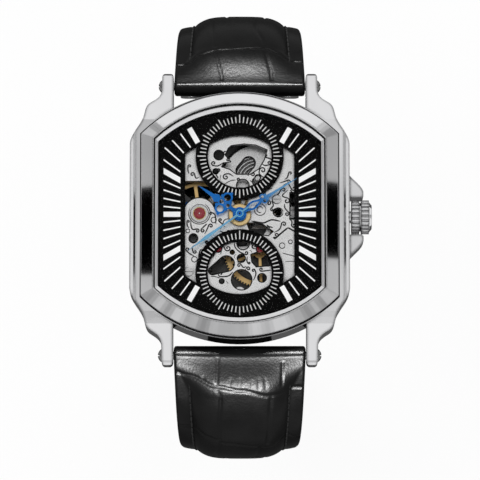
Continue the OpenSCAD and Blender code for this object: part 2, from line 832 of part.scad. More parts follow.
module back_screws() {
    color("silver") back_screw_places() {
        difference() {
            translate([0, 0, 0.05]) cylinder(h = 0.45, r = back_screw_r);
            translate([-2, -0.12, 0]) cube([4, 0.24, 0.2]);
        }
        cylinder(h = case_bottom + floor_t - 0.05, r = back_screw_shank);
    }
}

crown_x0 = case_half_w + 0.3;
tube_end = case_half_w + 0.2;

module crown_tube() {
    color("silver") translate([movement_r + 0.3, 0, axis_z]) rotate([0, 90, 0]) difference() {
        cylinder(h = tube_end - movement_r - 0.3, r = tube_r - 0.001);
        translate([0, 0, -1]) cylinder(h = 10, r = stem_r + pivot_gap);
    }
}

module flutes(r, depth) {
    step = 360 / crown_flutes;
    polygon([for (i = [0:crown_flutes - 1], k = [0:3])
        polar(k < 2 ? r - depth : r, i * step + step * [-0.4, -0.12, 0, 0.48][k])]);
}

module crown() {
    groove = 0.3;
    band = (crown_l - groove - 0.5) / 2;
    color("silver") translate([crown_x0, 0, axis_z]) rotate([0, 90, 0]) difference() {
        union() {
            linear_extrude(band) flutes(crown_r, 0.35);
            cylinder(h = crown_l - 0.4, r = crown_r - 0.5);
            translate([0, 0, band + groove]) rotate(8) linear_extrude(band) flutes(crown_r, 0.35);
            translate([0, 0, 2 * band + groove]) cylinder(h = 0.5, r1 = crown_r - 0.3, r2 = crown_r - 0.9);
        }
        translate([0, 0, -1]) cylinder(h = 2.2, r = stem_r + 0.4);
        translate([0, 0, -1]) cylinder(h = crown_l - 0.2, r = stem_r);
    }
}

module winding_stem() {
    color("silver") translate([stem_in, 0, axis_z]) rotate([0, 90, 0]) difference() {
        cylinder(h = crown_x0 + crown_l - 1.2 - stem_in, r = stem_r);
        translate([0, 0, setting_x - stem_in - 0.25]) difference() {
            cylinder(h = 0.5, r = stem_r + 1);
            translate([0, 0, -1]) cylinder(h = 3, r = stem_r - 0.2);
        }
    }
}

module winding_pinion() {
    tooth = 0.2;
    color("silver") translate([crown_wheel_at[0] + contrate_r - winding_pinion_l / 2, 0, axis_z])
        rotate([0, 90, 0]) difference() {
            linear_extrude(winding_pinion_l)
                gear_outline(winding_pinion_n, winding_pinion_r - tooth, tooth, tooth, 90);
            translate([0, 0, -1]) cylinder(h = 4, r = stem_r + pivot_gap);
        }
}

// Lever whose stud stands in the stem's groove
module setting_lever() {
    stud_at = [setting_x, -0.56];
    color("silver") {
        difference() {
            slab(setting_z, 0.3) hull() {
                translate(setting_post_at) circle(0.8, $fn = 32);
                translate([setting_x, -0.9]) circle(0.4, $fn = 32);
            }
            rod(setting_post_at, 0.3 + pivot_gap, 0, 9);
        }
        rod(stud_at, 0.14, setting_z, axis_z);
    }
}

// Crown wheel: spur teeth for the winding wheel and face teeth for the stem's pinion
module crown_wheel() {
    top = ratchet_z + ratchet_t;
    color("silver") translate([crown_wheel_at[0], crown_wheel_at[1], 0]) difference() {
        union() {
            slab(ratchet_z, ratchet_t) gear_outline(crown_wheel_n, crown_wheel_r,
                0.75 * winding_module, winding_module, 0);
            slab(top - 0.01, contrate_h + 0.01) difference() {
                circle(contrate_r + 0.25);
                circle(contrate_r - 0.25);
            }
        }
        for (i = [0:contrate_n - 1]) rotate(360 * i / contrate_n)
            translate([contrate_r - 0.5, -0.15, top + contrate_h - 0.2]) cube([1, 0.3, 1]);
        rod([0, 0], stud_r + pivot_gap, 0, 9);
    }
}
winding_wheel_phase = mesh_phase(winding_a, 0, crown_wheel_n, winding_wheel_n);
ratchet_phase = mesh_phase(winding_a, winding_wheel_phase, winding_wheel_n, ratchet_n);

module winding_wheel() {
    color("silver") translate([winding_wheel_at[0], winding_wheel_at[1], 0]) difference() {
        slab(ratchet_z, ratchet_t) gear_outline(winding_wheel_n, winding_wheel_r,
            0.75 * winding_module, winding_module, winding_wheel_phase);
        rod([0, 0], stud_r + pivot_gap, 0, 9);
    }
}

module ratchet_wheel() {
    color("silver") translate([barrel_at[0], barrel_at[1], 0]) difference() {
        slab(ratchet_z, ratchet_t) gear_outline(ratchet_n, ratchet_r,
            0.75 * winding_module, winding_module, ratchet_phase);
        translate([0, 0, ratchet_z - 1]) cylinder(h = 3, r = barrel_arbor_r - 0.15);
    }
}

// Pawl that lies against the ratchet wheel
module click() {
    tip_at = barrel_at + polar(ratchet_r + 0.75 * winding_module + 0.2, click_a - 24);
    color("silver") difference() {
        slab(ratchet_z, ratchet_t) hull() {
            translate(click_at) circle(0.7, $fn = 32);
            translate(tip_at) circle(0.14, $fn = 16);
        }
        rod(click_at, 0.3 + pivot_gap, 0, 9);
    }
}

module barrel() {
    drum_r = barrel_pr - 0.45;
    wall = 0.5;
    m = 2 * barrel_pr / barrel_n;
    color("goldenrod") translate([barrel_at[0], barrel_at[1], 0]) difference() {
        union() {
            slab(barrel_z, barrel_h) circle(drum_r, $fn = fine);
            slab(barrel_z + barrel_h - barrel_teeth_t, barrel_teeth_t)
                gear_outline(barrel_n, barrel_pr, 0.75 * m, m, barrel_phase);
        }
        rod([0, 0], drum_r - wall, barrel_z + 0.3, barrel_z + barrel_h - 0.25);
        rod([0, 0], barrel_arbor_r + pivot_gap, 0, 9);
        // Oval window of the drum's cover
        translate([-2.2, 2.5, barrel_z + barrel_h - 0.3]) rotate(50) linear_extrude(1) hull()
            for (x = [-0.9, 0.9]) translate([x, 0]) circle(1.2, $fn = 32);
    }
}

// Coiled strip of the mainspring, outermost turn by the drum's wall
spring_in = 2.0;
spring_out = barrel_pr - 1.15;
spring_turns = 6;
spring_w = 0.12;
module mainspring() {
    n = 24 * spring_turns;
    pitch = (spring_out - spring_in) / spring_turns;
    function at(i, side) = polar(spring_in + pitch * i / 24 + side * spring_w / 2, 15 * i);
    color("gray") translate([barrel_at[0], barrel_at[1], 0]) slab(barrel_z + 0.35, barrel_h - 0.7)
        polygon(concat([for (i = [0:n]) at(i, 1)], [for (i = [n:-1:0]) at(i, -1)]));
}

module barrel_arbor() {
    color("silver") {
        rod(barrel_at, barrel_arbor_r, ratchet_z + ratchet_t, barrel_z + barrel_h + 0.3);
        rod(barrel_at, barrel_arbor_r - 0.15, ratchet_z, ratchet_z + ratchet_t + 0.1);
        rod(barrel_at, barrel_arbor_r - 0.2, barrel_z + barrel_h, plate_top - 0.2);
    }
}

// Tooth angles, each wheel in mesh with the one before it
centre_phase = 0;
barrel_phase = mesh_phase(barrel_a, 0, centre_pinion_n, barrel_n);
third_phase = mesh_phase(third_a, centre_phase, centre_n, third_pinion_n);
fourth_phase = mesh_phase(third_a + 180, third_phase, third_n, fourth_pinion_n);
escape_phase = mesh_phase(escape_a, fourth_phase, fourth_n, escape_pinion_n);
minute_wheel_phase = mesh_phase(minute_wheel_a, 0, cannon_n, minute_wheel_n);
hour_wheel_phase = mesh_phase(minute_wheel_a + 180, 0, minute_pinion_n, hour_wheel_n);

module centre_wheel() {
    color("goldenrod") difference() {
        union() {
            wheel(centre_n, centre_pr, centre_phase, centre_z, wheel_t, 5);
            pinion(centre_pinion_n, centre_pinion_pr, 0, barrel_z + barrel_h - 0.6,
                centre_z - barrel_z - barrel_h + 0.61);
            rod([0, 0], centre_arbor_r, centre_z, minute_hand_z - 0.1);
        }
        rod([0, 0], seconds_arbor_r + pivot_gap, 0, 12);
    }
}

module cannon_pinion() {
    color("silver") difference() {
        union() {
            pinion(cannon_n, cannon_pr, 0, plate_top + 0.05, 0.2);
            rod([0, 0], cannon_r, plate_top - 0.3, minute_hand_z);
        }
        rod([0, 0], centre_arbor_r, 0, 12);
    }
}

module minute_wheel() {
    color("goldenrod") translate([minute_wheel_at[0], minute_wheel_at[1], 0]) {
        wheel(minute_wheel_n, minute_wheel_pr, minute_wheel_phase, plate_top + 0.07, 0.14, 3, 0.4, 0.7, 0.35);
        pinion(minute_pinion_n, minute_pinion_pr, 0, plate_top + 0.15, 0.33);
        rod([0, 0], arbor_r, plate_top - 0.4, plate_top + 0.2);
    }
}

module hour_wheel() {
    color("goldenrod") difference() {
        union() {
            pinion(hour_wheel_n, hour_wheel_pr, hour_wheel_phase, plate_top + 0.3, 0.15);
            rod([0, 0], hour_pipe_r, plate_top + 0.3, hour_hand_z);
        }
        rod([0, 0], cannon_r + pivot_gap, 0, 12);
    }
}

module third_wheel() {
    color("goldenrod") translate([third_at[0], third_at[1], 0]) {
        wheel(third_n, third_pr, third_phase, third_z, wheel_t, 5);
        pinion(third_pinion_n, third_pinion_pr, third_phase, centre_z - 0.1, 0.4);
        rod([0, 0], arbor_r, bridge_z + bridge_t + 0.05, plate_top - 0.32);
        rod([0, 0], pivot_r, bridge_z, plate_top);
    }
}

module fourth_wheel() {
    color("goldenrod") {
        wheel(fourth_n, fourth_pr, fourth_phase, fourth_z, wheel_t, 5);
        pinion(fourth_pinion_n, fourth_pinion_pr, fourth_phase, third_z - 0.1, 0.4);
        rod([0, 0], arbor_r, fourth_z, third_z + 0.5);
        rod([0, 0], seconds_arbor_r, bridge_z + bridge_t, seconds_hand_z);
        rod([0, 0], pivot_r, bridge_z, fourth_z);
    }
}

module escape_wheel() {
    step = 360 / escape_n;
    color("silver") translate([escape_at[0], escape_at[1], 0]) {
        slab(escape_z, wheel_t) difference() {
            polygon([for (i = [0:escape_n - 1], k = [0:3])
                polar([1.45, 1.45, escape_r, escape_r][k], step * (i + [0, 0.55, 0.86, 0.95][k]))]);
            difference() {
                circle(1.2);
                circle(0.5);
                for (i = [0:3]) rotate(90 * i) translate([0, -0.12]) square([1.4, 0.24]);
            }
        }
        pinion(escape_pinion_n, escape_pinion_pr, escape_phase, fourth_z - 0.1, 0.4);
        rod([0, 0], arbor_r, bridge_z + bridge_t + 0.05, plate_top - 0.32);
        rod([0, 0], pivot_r, bridge_z, plate_top);
    }
}

// Lever with two pallets that straddle the escape wheel, and a fork by the balance staff
module pallet_fork() {
    toward_escape = pallet_a + 180;
    toward_balance = atan2(balance_at[1] - pallet_at[1], balance_at[0] - pallet_at[0]);
    fork_l = norm(balance_at - pallet_at) - 0.95;
    spread = 66;
    arm_l = 1.5;
    arm_w = 0.24;
    color("silver") {
        slab(escape_z, wheel_t) translate(pallet_at) {
            circle(0.5);
            rotate(toward_balance) difference() {
                translate([0, -0.16]) square([fork_l, 0.32]);
                translate([fork_l - 0.35, -0.08]) square([1, 0.16]);
            }
            for (side = [-1, 1]) rotate(toward_escape + side * spread)
                translate([0, -arm_w / 2]) square([arm_l, arm_w]);
        }
        rod(pallet_at, pivot_r, pallet_bridge_z, plate_top - 0.1);
        rod(pallet_at, arbor_r, pallet_bridge_z + pallet_bridge_t + 0.03, plate_z + 0.3);
    }
}

module balance_wheel() {
    rim_w = 0.6;
    roller_r = 0.8;
    color("gold") translate([balance_at[0], balance_at[1], 0]) {
        slab(balance_z, balance_t) difference() {
            circle(balance_r, $fn = fine);
            circle(balance_r - rim_w, $fn = fine);
        }
        slab(balance_z + 0.12, 0.22) {
            circle(0.9);
            for (i = [0:2]) rotate(98 + 120 * i) translate([0, -0.3]) square([balance_r - 0.3, 0.6]);
        }
        rod([0, 0], staff_r, cock_z + cock_t + 0.05, plate_z + 0.3);
        rod([0, 0], pivot_r, cock_z + 0.05, plate_z + 0.7);
        rod([0, 0], roller_r, escape_z - 0.2, escape_z + 0.25);
        rod([0, 0], 0.5, hairspring_z - 0.02, hairspring_z + 0.4);
    }
}

// Balance spring: one flat strip whose coils open at a steady rate
coil_in = 0.62;
coil_pitch = 0.56;
coil_turns = 5;
coil_w = 0.08;
coil_steps = 24;
coil_a = atan2(cock_post_at[1] - balance_at[1], cock_post_at[0] - balance_at[0]);
coil_gap = coil_pitch - coil_w;
echo(least_gap_of_the_balance_spring = coil_gap);
module hairspring() {
    n = coil_steps * coil_turns;
    function at(i, side) = polar(coil_in + coil_pitch * i / coil_steps + side * coil_w / 2,
        360 * i / coil_steps);
    color("steelblue") translate([balance_at[0], balance_at[1], 0]) rotate(coil_a) {
        slab(hairspring_z, hairspring_h)
            polygon(concat([for (i = [0:n]) at(i, 1)], [for (i = [n:-1:0]) at(i, -1)]));
        translate([coil_in + coil_pitch * coil_turns - 0.2, -0.25, cock_z + cock_t])
            cube([0.4, 0.5, hairspring_z - cock_z - cock_t + 0.01]);
    }
}

module rotor() {
    rim_w = 3.2;
    color("silver") difference() {
        union() {
            slab(rotor_z, rotor_t) difference() {
                intersection() {
                    circle(rotor_r, $fn = fine);
                    union() {
                        translate([-rotor_r, -rotor_r]) square([2 * rotor_r, rotor_r + 1]);
                        circle(3.4);
                    }
                }
                for (i = [-2:2]) rotate(-90 + 34 * i) translate([6.9, 0]) circle(1.5);
            }
            slab(rotor_z + rotor_t - 0.01, rotor_rim_t - rotor_t) intersection() {
                difference() {
                    circle(rotor_r, $fn = fine);
                    circle(rotor_r - rim_w, $fn = fine);
                }
                translate([-rotor_r, -rotor_r]) square([2 * rotor_r, rotor_r + 0.6]);
            }
        }
        rod([0, 0], 1.6 + gap, 0, 9);
    }
}

module rotor_bearing() {
    color("silver") difference() {
        union() {
            rod([0, 0], 1.6, rotor_z - 0.05, rotor_z + rotor_t);
            rod([0, 0], 2.2, rotor_z + rotor_t + 0.06, bridge_z);
            rod([0, 0], 1.4, rotor_z + rotor_t - 0.01, rotor_z + rotor_t + 0.1);
        }
        rod([0, 0], 0.45, bridge_z - 0.4, bridge_z + 0.1);
        for (i = [0:2]) rotate(120 * i) translate([0.9, 0, rotor_z - 0.1]) cylinder(h = 0.3, r = 0.2);
    }
}

// Pierced scroll of a hand: a ring with an open eye
module eye(x, y, r, w) {
    translate([x, y]) difference() {
        circle(r, $fn = 32);
        circle(r - w, $fn = 32);
    }
}

module hour_hand() {
    color([0.1, 0.3, 0.8]) difference() {
        rotate(hour_hand_a) {
            slab(hour_hand_z, hand_t) circle(1.25);
            slab(hour_hand_z, hand_t) polygon([[0.9, -0.5], [1.5, -0.34], [2.3, -0.3],
                [2.3, 0.3], [1.5, 0.34], [0.9, 0.5]]);
            // Cross of pierced scrolls with beads
            for (e = [[2.6, 0, 0.62, 0.26], [3.5, 1.2, 0.98, 0.36], [3.5, -1.2, 0.98, 0.36],
                [3.95, 0, 0.72, 0.28]])
                slab(hour_hand_z, hand_t) eye(e[0], e[1], e[2], e[3]);
            for (b = [[2.55, 0.72, 0.3], [2.55, -0.72, 0.3], [4.45, 0.95, 0.3], [4.45, -0.95, 0.3],
                [3.3, 2.2, 0.28], [3.3, -2.2, 0.28]])
                slab(hour_hand_z, hand_t) translate([b[0], b[1]]) circle(b[2], $fn = 24);
            slab(hour_hand_z, hand_t) polygon([[4.4, 0], [4.55, -0.45], [5.05, -0.8], [5.5, -0.62],
                [5.9, -0.36], [hour_hand_l - 2, -0.26], [hour_hand_l, 0], [hour_hand_l - 2, 0.26],
                [5.9, 0.36], [5.5, 0.62], [5.05, 0.8], [4.55, 0.45]]);
        }
        rod([0, 0], cannon_r + 0.08, 9, 12);
    }
}

module minute_hand() {
    color([0.1, 0.35, 0.85]) difference() {
        rotate(minute_hand_a) {
            slab(minute_hand_z, hand_t) circle(1.0);
            slab(minute_hand_z, hand_t) difference() {
                polygon([[0.6, -0.42], [1.5, -0.42], [2.5, -0.78], [3.2, -0.76], [4.3, -0.4],
                    [4.8, -0.36], [4.8, 0.36], [4.3, 0.4], [3.2, 0.76], [2.5, 0.78],
                    [1.5, 0.42], [0.6, 0.42]]);
                polygon([[1.75, 0], [2.55, -0.42], [3.15, -0.42], [4.2, 0], [3.15, 0.42], [2.55, 0.42]]);
            }
            for (side = [-1, 1]) {
                slab(minute_hand_z, hand_t) eye(5.1, side * 0.42, 0.52, 0.24);
                slab(minute_hand_z, hand_t) translate([5.7, side * 0.45]) circle(0.26, $fn = 24);
            }
            slab(minute_hand_z, hand_t) polygon([[5.3, -0.3], [6.3, -0.32], [7, -0.24],
                [minute_hand_l - 2, -0.16], [minute_hand_l, 0], [minute_hand_l - 2, 0.16],
                [7, 0.24], [6.3, 0.32], [5.3, 0.3]]);
        }
        rod([0, 0], seconds_arbor_r + 0.1, 9, 12);
    }
}

module seconds_hand() {
    t = hand_t - 0.04;
    color([0.3, 0.6, 0.85]) rotate(seconds_hand_a) {
        slab(seconds_hand_z, t) circle(0.7);
        slab(seconds_hand_z, t) polygon([[0.3, -0.2], [4, -0.17], [7.4, -0.34], [9, -0.17],
            [seconds_hand_l, 0], [9, 0.17], [7.4, 0.34], [4, 0.17], [0.3, 0.2]]);
        slab(seconds_hand_z, t) translate([-2.2, -0.14]) square([2.2, 0.28]);
    }
}

// Point and direction on the strap's course at distance s, in the plane of y and z
function bend_l(turn) = strap_bend * (turn - strap_start) * PI / 180;
function course(s, turn, bend) = let (first = bend_l(turn),
    a = strap_start + min(s, first) * 180 / PI / strap_bend,
    y1 = bar_y + strap_bend * (sin(a) - sin(strap_start)),
    z1 = bar_z - strap_bend * (cos(strap_start) - cos(a)),
    rest = max(s - first, 0), b = bend == 0 ? a : a + rest * 180 / PI / bend)
    bend == 0 ? [y1 + rest * cos(a), z1 - rest * sin(a), a]
        : [y1 + bend * (sin(b) - sin(a)), z1 - bend * (cos(a) - cos(b)), b];

// Half width of the strap at distance s
function half_width(s) = (strap_w - (strap_w - strap_end_w) * min(s / 60, 1)) / 2;
// Height of the padding above the flat edge at distance s
function pad_at(s) = let (u = min(max((s - 1) / 7, 0), 1), d = min(max((pad_end + 10 - s) / 40, 0), 1))
    strap_pad * u * (2 - u) * d * (2 - d);
// Share of the padding's height at x across the strap
function pad_share(x, half) =
    let (v = min(abs(x) / (half - (strap_w - strap_pad_w) / 2 + 0.7), 1)) 1 - pow(v, 5);

// Cross-section of the strap at distance s, as points in space
across = [-1, -0.86, -0.76, -0.66, -0.5, -0.25, 0, 0.25, 0.5, 0.66, 0.76, 0.86, 1];
function strap_ring(s, turn, bend, l) =
    let (p = course(s, turn, bend), half = half_width(s) * end_taper(s, l), n = [sin(p[2]), cos(p[2])])
    concat(
        [for (k = across) let (h = strap_edge_t / 2 + pad_at(s) * pad_share(k * half, half) * 0.999)
            [k * half, p[0] + n[0] * h, p[1] + n[1] * h]],
        [for (k = [1, -1]) [k * half, p[0] - n[0] * strap_edge_t / 2, p[1] - n[1] * strap_edge_t / 2]]);
// Rounded point at the end of the long strap
function end_taper(s, l) = l == 0 ? 1 : let (u = min(max((s - l + 12) / 12, 0), 1)) sqrt(1 - u * u * 0.9);

module strap_band(turn, bend, l, point) {
    m = len(across) + 2;
    stations = [for (i = [0:strap_rings]) l * pow(i / strap_rings, 1.15)];
    rings = [for (s = stations) strap_ring(s, turn, bend, point ? l : 0)];
    sides = [for (i = [0:strap_rings - 1], j = [0:m - 1]) let (a = i * m + j, b = i * m + (j + 1) % m)
        each [[a, a + m, b], [b, a + m, b + m]]];
    last = strap_rings * m;
    caps = [for (j = [0:m - 3]) each [[m - 1, j, j + 1], [last + m - 1, last + j + 1, last + j]]];
    polyhedron([for (r = rings) each r], concat(sides, caps));
}

module strap_roll(r) {
    translate([-strap_w / 2, bar_y, bar_z]) rotate([0, 90, 0]) cylinder(h = strap_w, r = r);
}

module strap_upper() {
    color([0.08, 0.08, 0.08]) difference() {
        union() {
            strap_band(upper_turn, 0, upper_l, false);
            strap_roll(roll_r);
            on_upper(buckle_s) rotate([0, 90, 0])
                cylinder(h = strap_end_w, r = end_roll_r, center = true);
        }
        on_upper(buckle_s) {
            rotate([0, 90, 0]) cylinder(h = strap_end_w + 2, r = buckle_bar_r + gap, center = true);
            translate([-tongue_slot / 2, -tongue_slot_in, -end_roll_r - 1])
                cube([tongue_slot, tongue_slot_in + 3 * end_roll_r, 2 * end_roll_r + 2]);
        }
        translate([-strap_w / 2 - 1, bar_y, bar_z]) rotate([0, 90, 0])
            cylinder(h = strap_w + 2, r = bar_r + gap);
    }
}

module strap_lower() {
    color([0.08, 0.08, 0.08]) mirror([0, 1, 0]) difference() {
        union() {
            strap_band(lower_turn, lower_bend, lower_l, true);
            strap_roll(roll_r);
        }
        translate([-strap_w / 2 - 1, bar_y, bar_z]) rotate([0, 90, 0])
            cylinder(h = strap_w + 2, r = bar_r + gap);
        for (i = [0:strap_holes - 1]) {
            p = course(lower_l - first_hole - hole_pitch * i, lower_turn, lower_bend);
            translate([0, p[0], p[1]]) rotate([-p[2], 0, 0])
                cylinder(h = 8, r = hole_r, center = true);
        }
    }
}

// Places things in the upper strap's own frame: x across, y along it, z out of its face
module on_upper(s) {
    p = course(s, upper_turn, 0);
    translate([0, p[0], p[1]]) rotate([-p[2], 0, 0]) children();
}
buckle_s = upper_l + 1.2;
end_roll_r = 1.3;
tongue_slot = 2.8;
tongue_slot_in = 2.6;
buckle_bar_r = 0.6;
buckle_in = strap_end_w / 2 + 0.5;
frame_wire = 1.6;

module buckle_bar() {
    color("silver") on_upper(buckle_s) rotate([0, 90, 0])
        cylinder(h = 2 * buckle_in + 2 * frame_wire - 0.4, r = buckle_bar_r, center = true);
}

module buckle_frame() {
    reach = 10.7;
    bar_in = 9;
    corner = 1.2;
    thick = 2.2;
    outer = buckle_in + frame_wire;
    color("silver") on_upper(buckle_s) difference() {
        translate([0, 0, -thick / 2]) linear_extrude(thick) offset(r = corner, $fn = 32)
            translate([corner - outer, corner - 1.5])
                square([2 * (outer - corner), reach + 1.5 - 2 * corner]);
        translate([-buckle_in, -3, -thick]) cube([2 * buckle_in, bar_in + 3, 2 * thick]);
        translate([-1, bar_in - 1, 0.3]) cube([2, reach, thick]);
        rotate([0, 90, 0]) cylinder(h = 60, r = buckle_bar_r + pivot_gap, center = true);
    }
}

module buckle_tongue() {
    tongue_l = 11;
    tongue_z = 0.35;
    tongue_t = 0.75;
    color("silver") on_upper(buckle_s) difference() {
        union() {
            rotate([0, 90, 0]) cylinder(h = 2, r = 1.15, center = true);
            translate([-0.8, 0, tongue_z]) cube([1.6, tongue_l, tongue_t]);
        }
        rotate([0, 90, 0]) cylinder(h = 4, r = buckle_bar_r + pivot_gap, center = true);
    }
}

// Leather loop round the strap at distance s
module keeper(s) {
    t = 1.2;
    w = 6;
    room = 0.5;
    half = half_width(s) + room;
    high = strap_edge_t / 2 + strap_edge_t + 0.5;
    low = strap_edge_t / 2 + room;
    color([0.08, 0.08, 0.08]) on_upper(s) translate([0, -w / 2, 0]) rotate([-90, 0, 0])
        linear_extrude(w) difference() {
            translate([-half - t, -high - t]) square([2 * (half + t), high + low + 2 * t]);
            translate([-half, -high]) square([2 * half, high + low]);
        }
}
fixed_keeper_back = 8;
sliding_keeper_back = 22;
fixed_keeper_s = upper_l - fixed_keeper_back;
sliding_keeper_s = upper_l - sliding_keeper_back;

module fixed_keeper() {
    keeper(fixed_keeper_s);
}

module sliding_keeper() {
    keeper(sliding_keeper_s);
}

mid_case();
bezel();
crystal();
crystal_gasket();
inner_ring();
dial();
hour_markers();
minute_ticks();
subdial_ticks();
movement_ring();
main_plate();
train_bridge();
barrel_bridge();
balance_cock();
pallet_bridge();
balance_jewel();
jewel_setting();
plate_jewels();
movement_screws();
back_cover();
back_glass();
back_gasket();
back_screws();
crown_tube();
lug_bars();
crown();
winding_stem();
winding_pinion();
setting_lever();
crown_wheel();
winding_wheel();
ratchet_wheel();
click();
barrel();
mainspring();
barrel_arbor();
centre_wheel();
cannon_pinion();
minute_wheel();
hour_wheel();
third_wheel();
fourth_wheel();
escape_wheel();
pallet_fork();
balance_wheel();
hairspring();
rotor();
rotor_bearing();
hour_hand();
minute_hand();
seconds_hand();
strap_upper();
strap_lower();
buckle_frame();
buckle_tongue();
buckle_bar();
fixed_keeper();
sliding_keeper();
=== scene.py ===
import bmesh
import bpy
import math
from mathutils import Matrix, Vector
from mathutils.bvhtree import BVHTree


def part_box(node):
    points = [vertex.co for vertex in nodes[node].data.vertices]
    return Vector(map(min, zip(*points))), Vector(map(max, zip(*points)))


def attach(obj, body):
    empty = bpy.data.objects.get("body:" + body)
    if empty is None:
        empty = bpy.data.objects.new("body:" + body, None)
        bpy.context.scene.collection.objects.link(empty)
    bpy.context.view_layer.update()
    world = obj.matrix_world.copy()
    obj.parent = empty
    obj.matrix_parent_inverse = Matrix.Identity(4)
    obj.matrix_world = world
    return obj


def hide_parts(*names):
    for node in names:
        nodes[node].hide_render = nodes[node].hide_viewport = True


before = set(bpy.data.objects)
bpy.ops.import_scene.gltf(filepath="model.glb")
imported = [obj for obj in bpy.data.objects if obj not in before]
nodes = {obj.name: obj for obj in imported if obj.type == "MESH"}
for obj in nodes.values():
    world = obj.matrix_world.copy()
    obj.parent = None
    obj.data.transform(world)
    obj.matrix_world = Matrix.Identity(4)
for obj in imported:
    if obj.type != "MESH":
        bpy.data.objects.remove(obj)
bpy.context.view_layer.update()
MM = 0.001

# Camera at the photograph's viewing angle
AIM = Vector((0.06, -3.27, 0)) * MM
DISTANCE = 0.7
ELEVATION = math.radians(81.5)
cam_data = bpy.data.cameras.new("camera")
cam = bpy.data.objects.new("camera", cam_data)
bpy.context.scene.collection.objects.link(cam)
cam_data.lens = 286
cam_data.sensor_width = 36
cam_data.clip_start = 0.01
cam_data.clip_end = 10
cam.location = AIM + DISTANCE * Vector((0, -math.cos(ELEVATION), math.sin(ELEVATION)))
cam.rotation_euler = (AIM - cam.location).to_track_quat("-Z", "Y").to_euler()
bpy.context.scene.camera = cam
bpy.context.scene.view_settings.view_transform = "Standard"


class Tree:
    """The node tree of a material or world, with short ways to what this scene uses."""

    def __init__(self, owner):
        owner.use_nodes = True
        self.owner = owner
        self.nodes = owner.node_tree.nodes
        self.links = owner.node_tree.links

    def feed(self, socket, value):
        """Gives a socket a constant, or links an output to it."""
        if isinstance(value, (int, float, tuple)):
            socket.default_value = value
        else:
            self.links.new(value, socket)

    def new(self, kind, *values, operation=None, **named):
        """Adds a node. Values go to its first inputs, named ones by name with _ for a space."""
        n = self.nodes.new("ShaderNode" + kind)
        if operation:
            n.operation = operation
        for socket, value in zip(n.inputs, values):
            self.feed(socket, value)
        for name, value in named.items():
            self.feed(n.inputs[name.replace("_", " ")], value)
        return n

    def calc(self, operation, a, b):
        return self.new("Math", a, b, operation=operation).outputs[0]

    def ramp(self, value, *stops):
        """Colours by a value, from two stops (position, colour)."""
        n = self.new("ValToRGB", Fac=value)
        for stop, (position, colour) in zip(n.color_ramp.elements, stops):
            stop.position = position
            stop.color = colour + (1,)
        return n.outputs["Color"]

    def surface(self, shader):
        self.feed(self.nodes["Material Output"].inputs["Surface"], shader.outputs[0])


class Finish(Tree):
    """A new material: its shader, and textures in the object's own coordinates."""

    def __init__(self, name):
        super().__init__(bpy.data.materials.new(name))
        self.shader = self.nodes["Principled BSDF"]
        self.place = self.new("TexCoord").outputs["Object"]

    def set(self, **values):
        for name, value in values.items():
            self.feed(self.shader.inputs[name.replace("_", " ")], value)

    def noise(self, scale, detail, place=None):
        return self.new("TexNoise", Vector=place or self.place, Scale=scale, Detail=detail,
            Roughness=0.6).outputs["Fac"]

    def span(self, value, to=(0, 1), of=(0, 1)):
        """A value of one range taken to another."""
        return self.new("MapRange", Value=value, From_Min=of[0], From_Max=of[1], To_Min=to[0],
            To_Max=to[1]).outputs["Result"]

    def tones(self, value, low, high):
        return self.ramp(value, (0.3, low), (0.7, high))

    def mix(self, blend, fac, a, b):
        n = self.nodes.new("ShaderNodeMix")
        n.data_type = "RGBA"
        n.blend_type = blend
        for socket, value in ((n.inputs["Factor"], fac), (n.inputs[6], a), (n.inputs[7], b)):
            self.feed(socket, value)
        return n.outputs[2]

    def rounded(self, radius, samples):
        """The normal of a surface whose edges are rounded, by a radius in millimetres."""
        n = self.new("Bevel", Radius=radius * MM)
        n.samples = samples
        return n.outputs["Normal"]

    def bump(self, height, strength, distance, normal=None):
        n = self.new("Bump", Strength=strength, Distance=distance, Height=height)
        if normal is not None:
            self.feed(n.inputs["Normal"], normal)
        return n.outputs["Normal"]


def shade(colour, gain):
    return tuple(min(1, v * gain) for v in colour)


def grey(v):
    return (v, v, v)


def metal(name, colour, rough, grain=(1, 1, 1), scale=900, bump=0.15, spread=0.08, spots=0.06,
        edge=0, shade_depth=0, painted_rim=0, tip=None):
    """Metal with brushed or fine cast grain, uneven polish, slight tone changes and rounded edges.

    In millimetres, edge is the rounding of its edges, depth the reach of the painted shade that darkens its
    colour in its hollows, and rim the width of the painted reflection, a darker tone along its edges where a
    rounded edge would mirror the dark of the room.
    tip says how far from the axis another colour begins and is full, and which.
    """
    t = Finish(name)
    fine = t.noise(scale, 4, t.new("Mapping", Vector=t.place, Scale=grain).outputs["Vector"])
    tone = t.tones(t.noise(160, 2), shade(colour, 1 - spots), shade(colour, 1 + spots))
    if tip:
        begins, full, other = tip
        flat = t.new("VectorMath", t.place, (1, 1, 0), operation="MULTIPLY").outputs["Vector"]
        far = t.new("VectorMath", flat, operation="LENGTH").outputs["Value"]
        tone = t.mix("MIX", t.span(far, of=(begins * MM, full * MM)), tone, other + (1,))
    # Painted shade: the colour is darkened in the hollows
    if shade_depth:
        hollow = t.new("AmbientOcclusion", Distance=shade_depth * MM)
        hollow.samples = 4
        shadow = t.ramp(hollow.outputs["AO"], (0.3, grey(0.02)), (0.75, grey(1)))
        tone = t.mix("MULTIPLY", 1.0, tone, shadow)
    # Painted reflection: the colour is darkened along the rounded edges, as if they mirrored the dark of the room
    if painted_rim:
        true_face = t.new("NewGeometry").outputs["True Normal"]
        flatness = t.new("VectorMath", t.rounded(painted_rim, 6), true_face, operation="DOT_PRODUCT").outputs["Value"]
        tone = t.mix("MULTIPLY", 1.0, tone, t.ramp(flatness, (0.8, grey(0.16)), (0.998, grey(1))))
    t.set(Base_Color=tone, Metallic=1.0, Roughness=t.span(fine, (max(rough - spread, 0.03), rough + spread)),
        Normal=t.bump(fine, bump, 0.00002, t.rounded(edge, 4) if edge else None))
    return t.owner


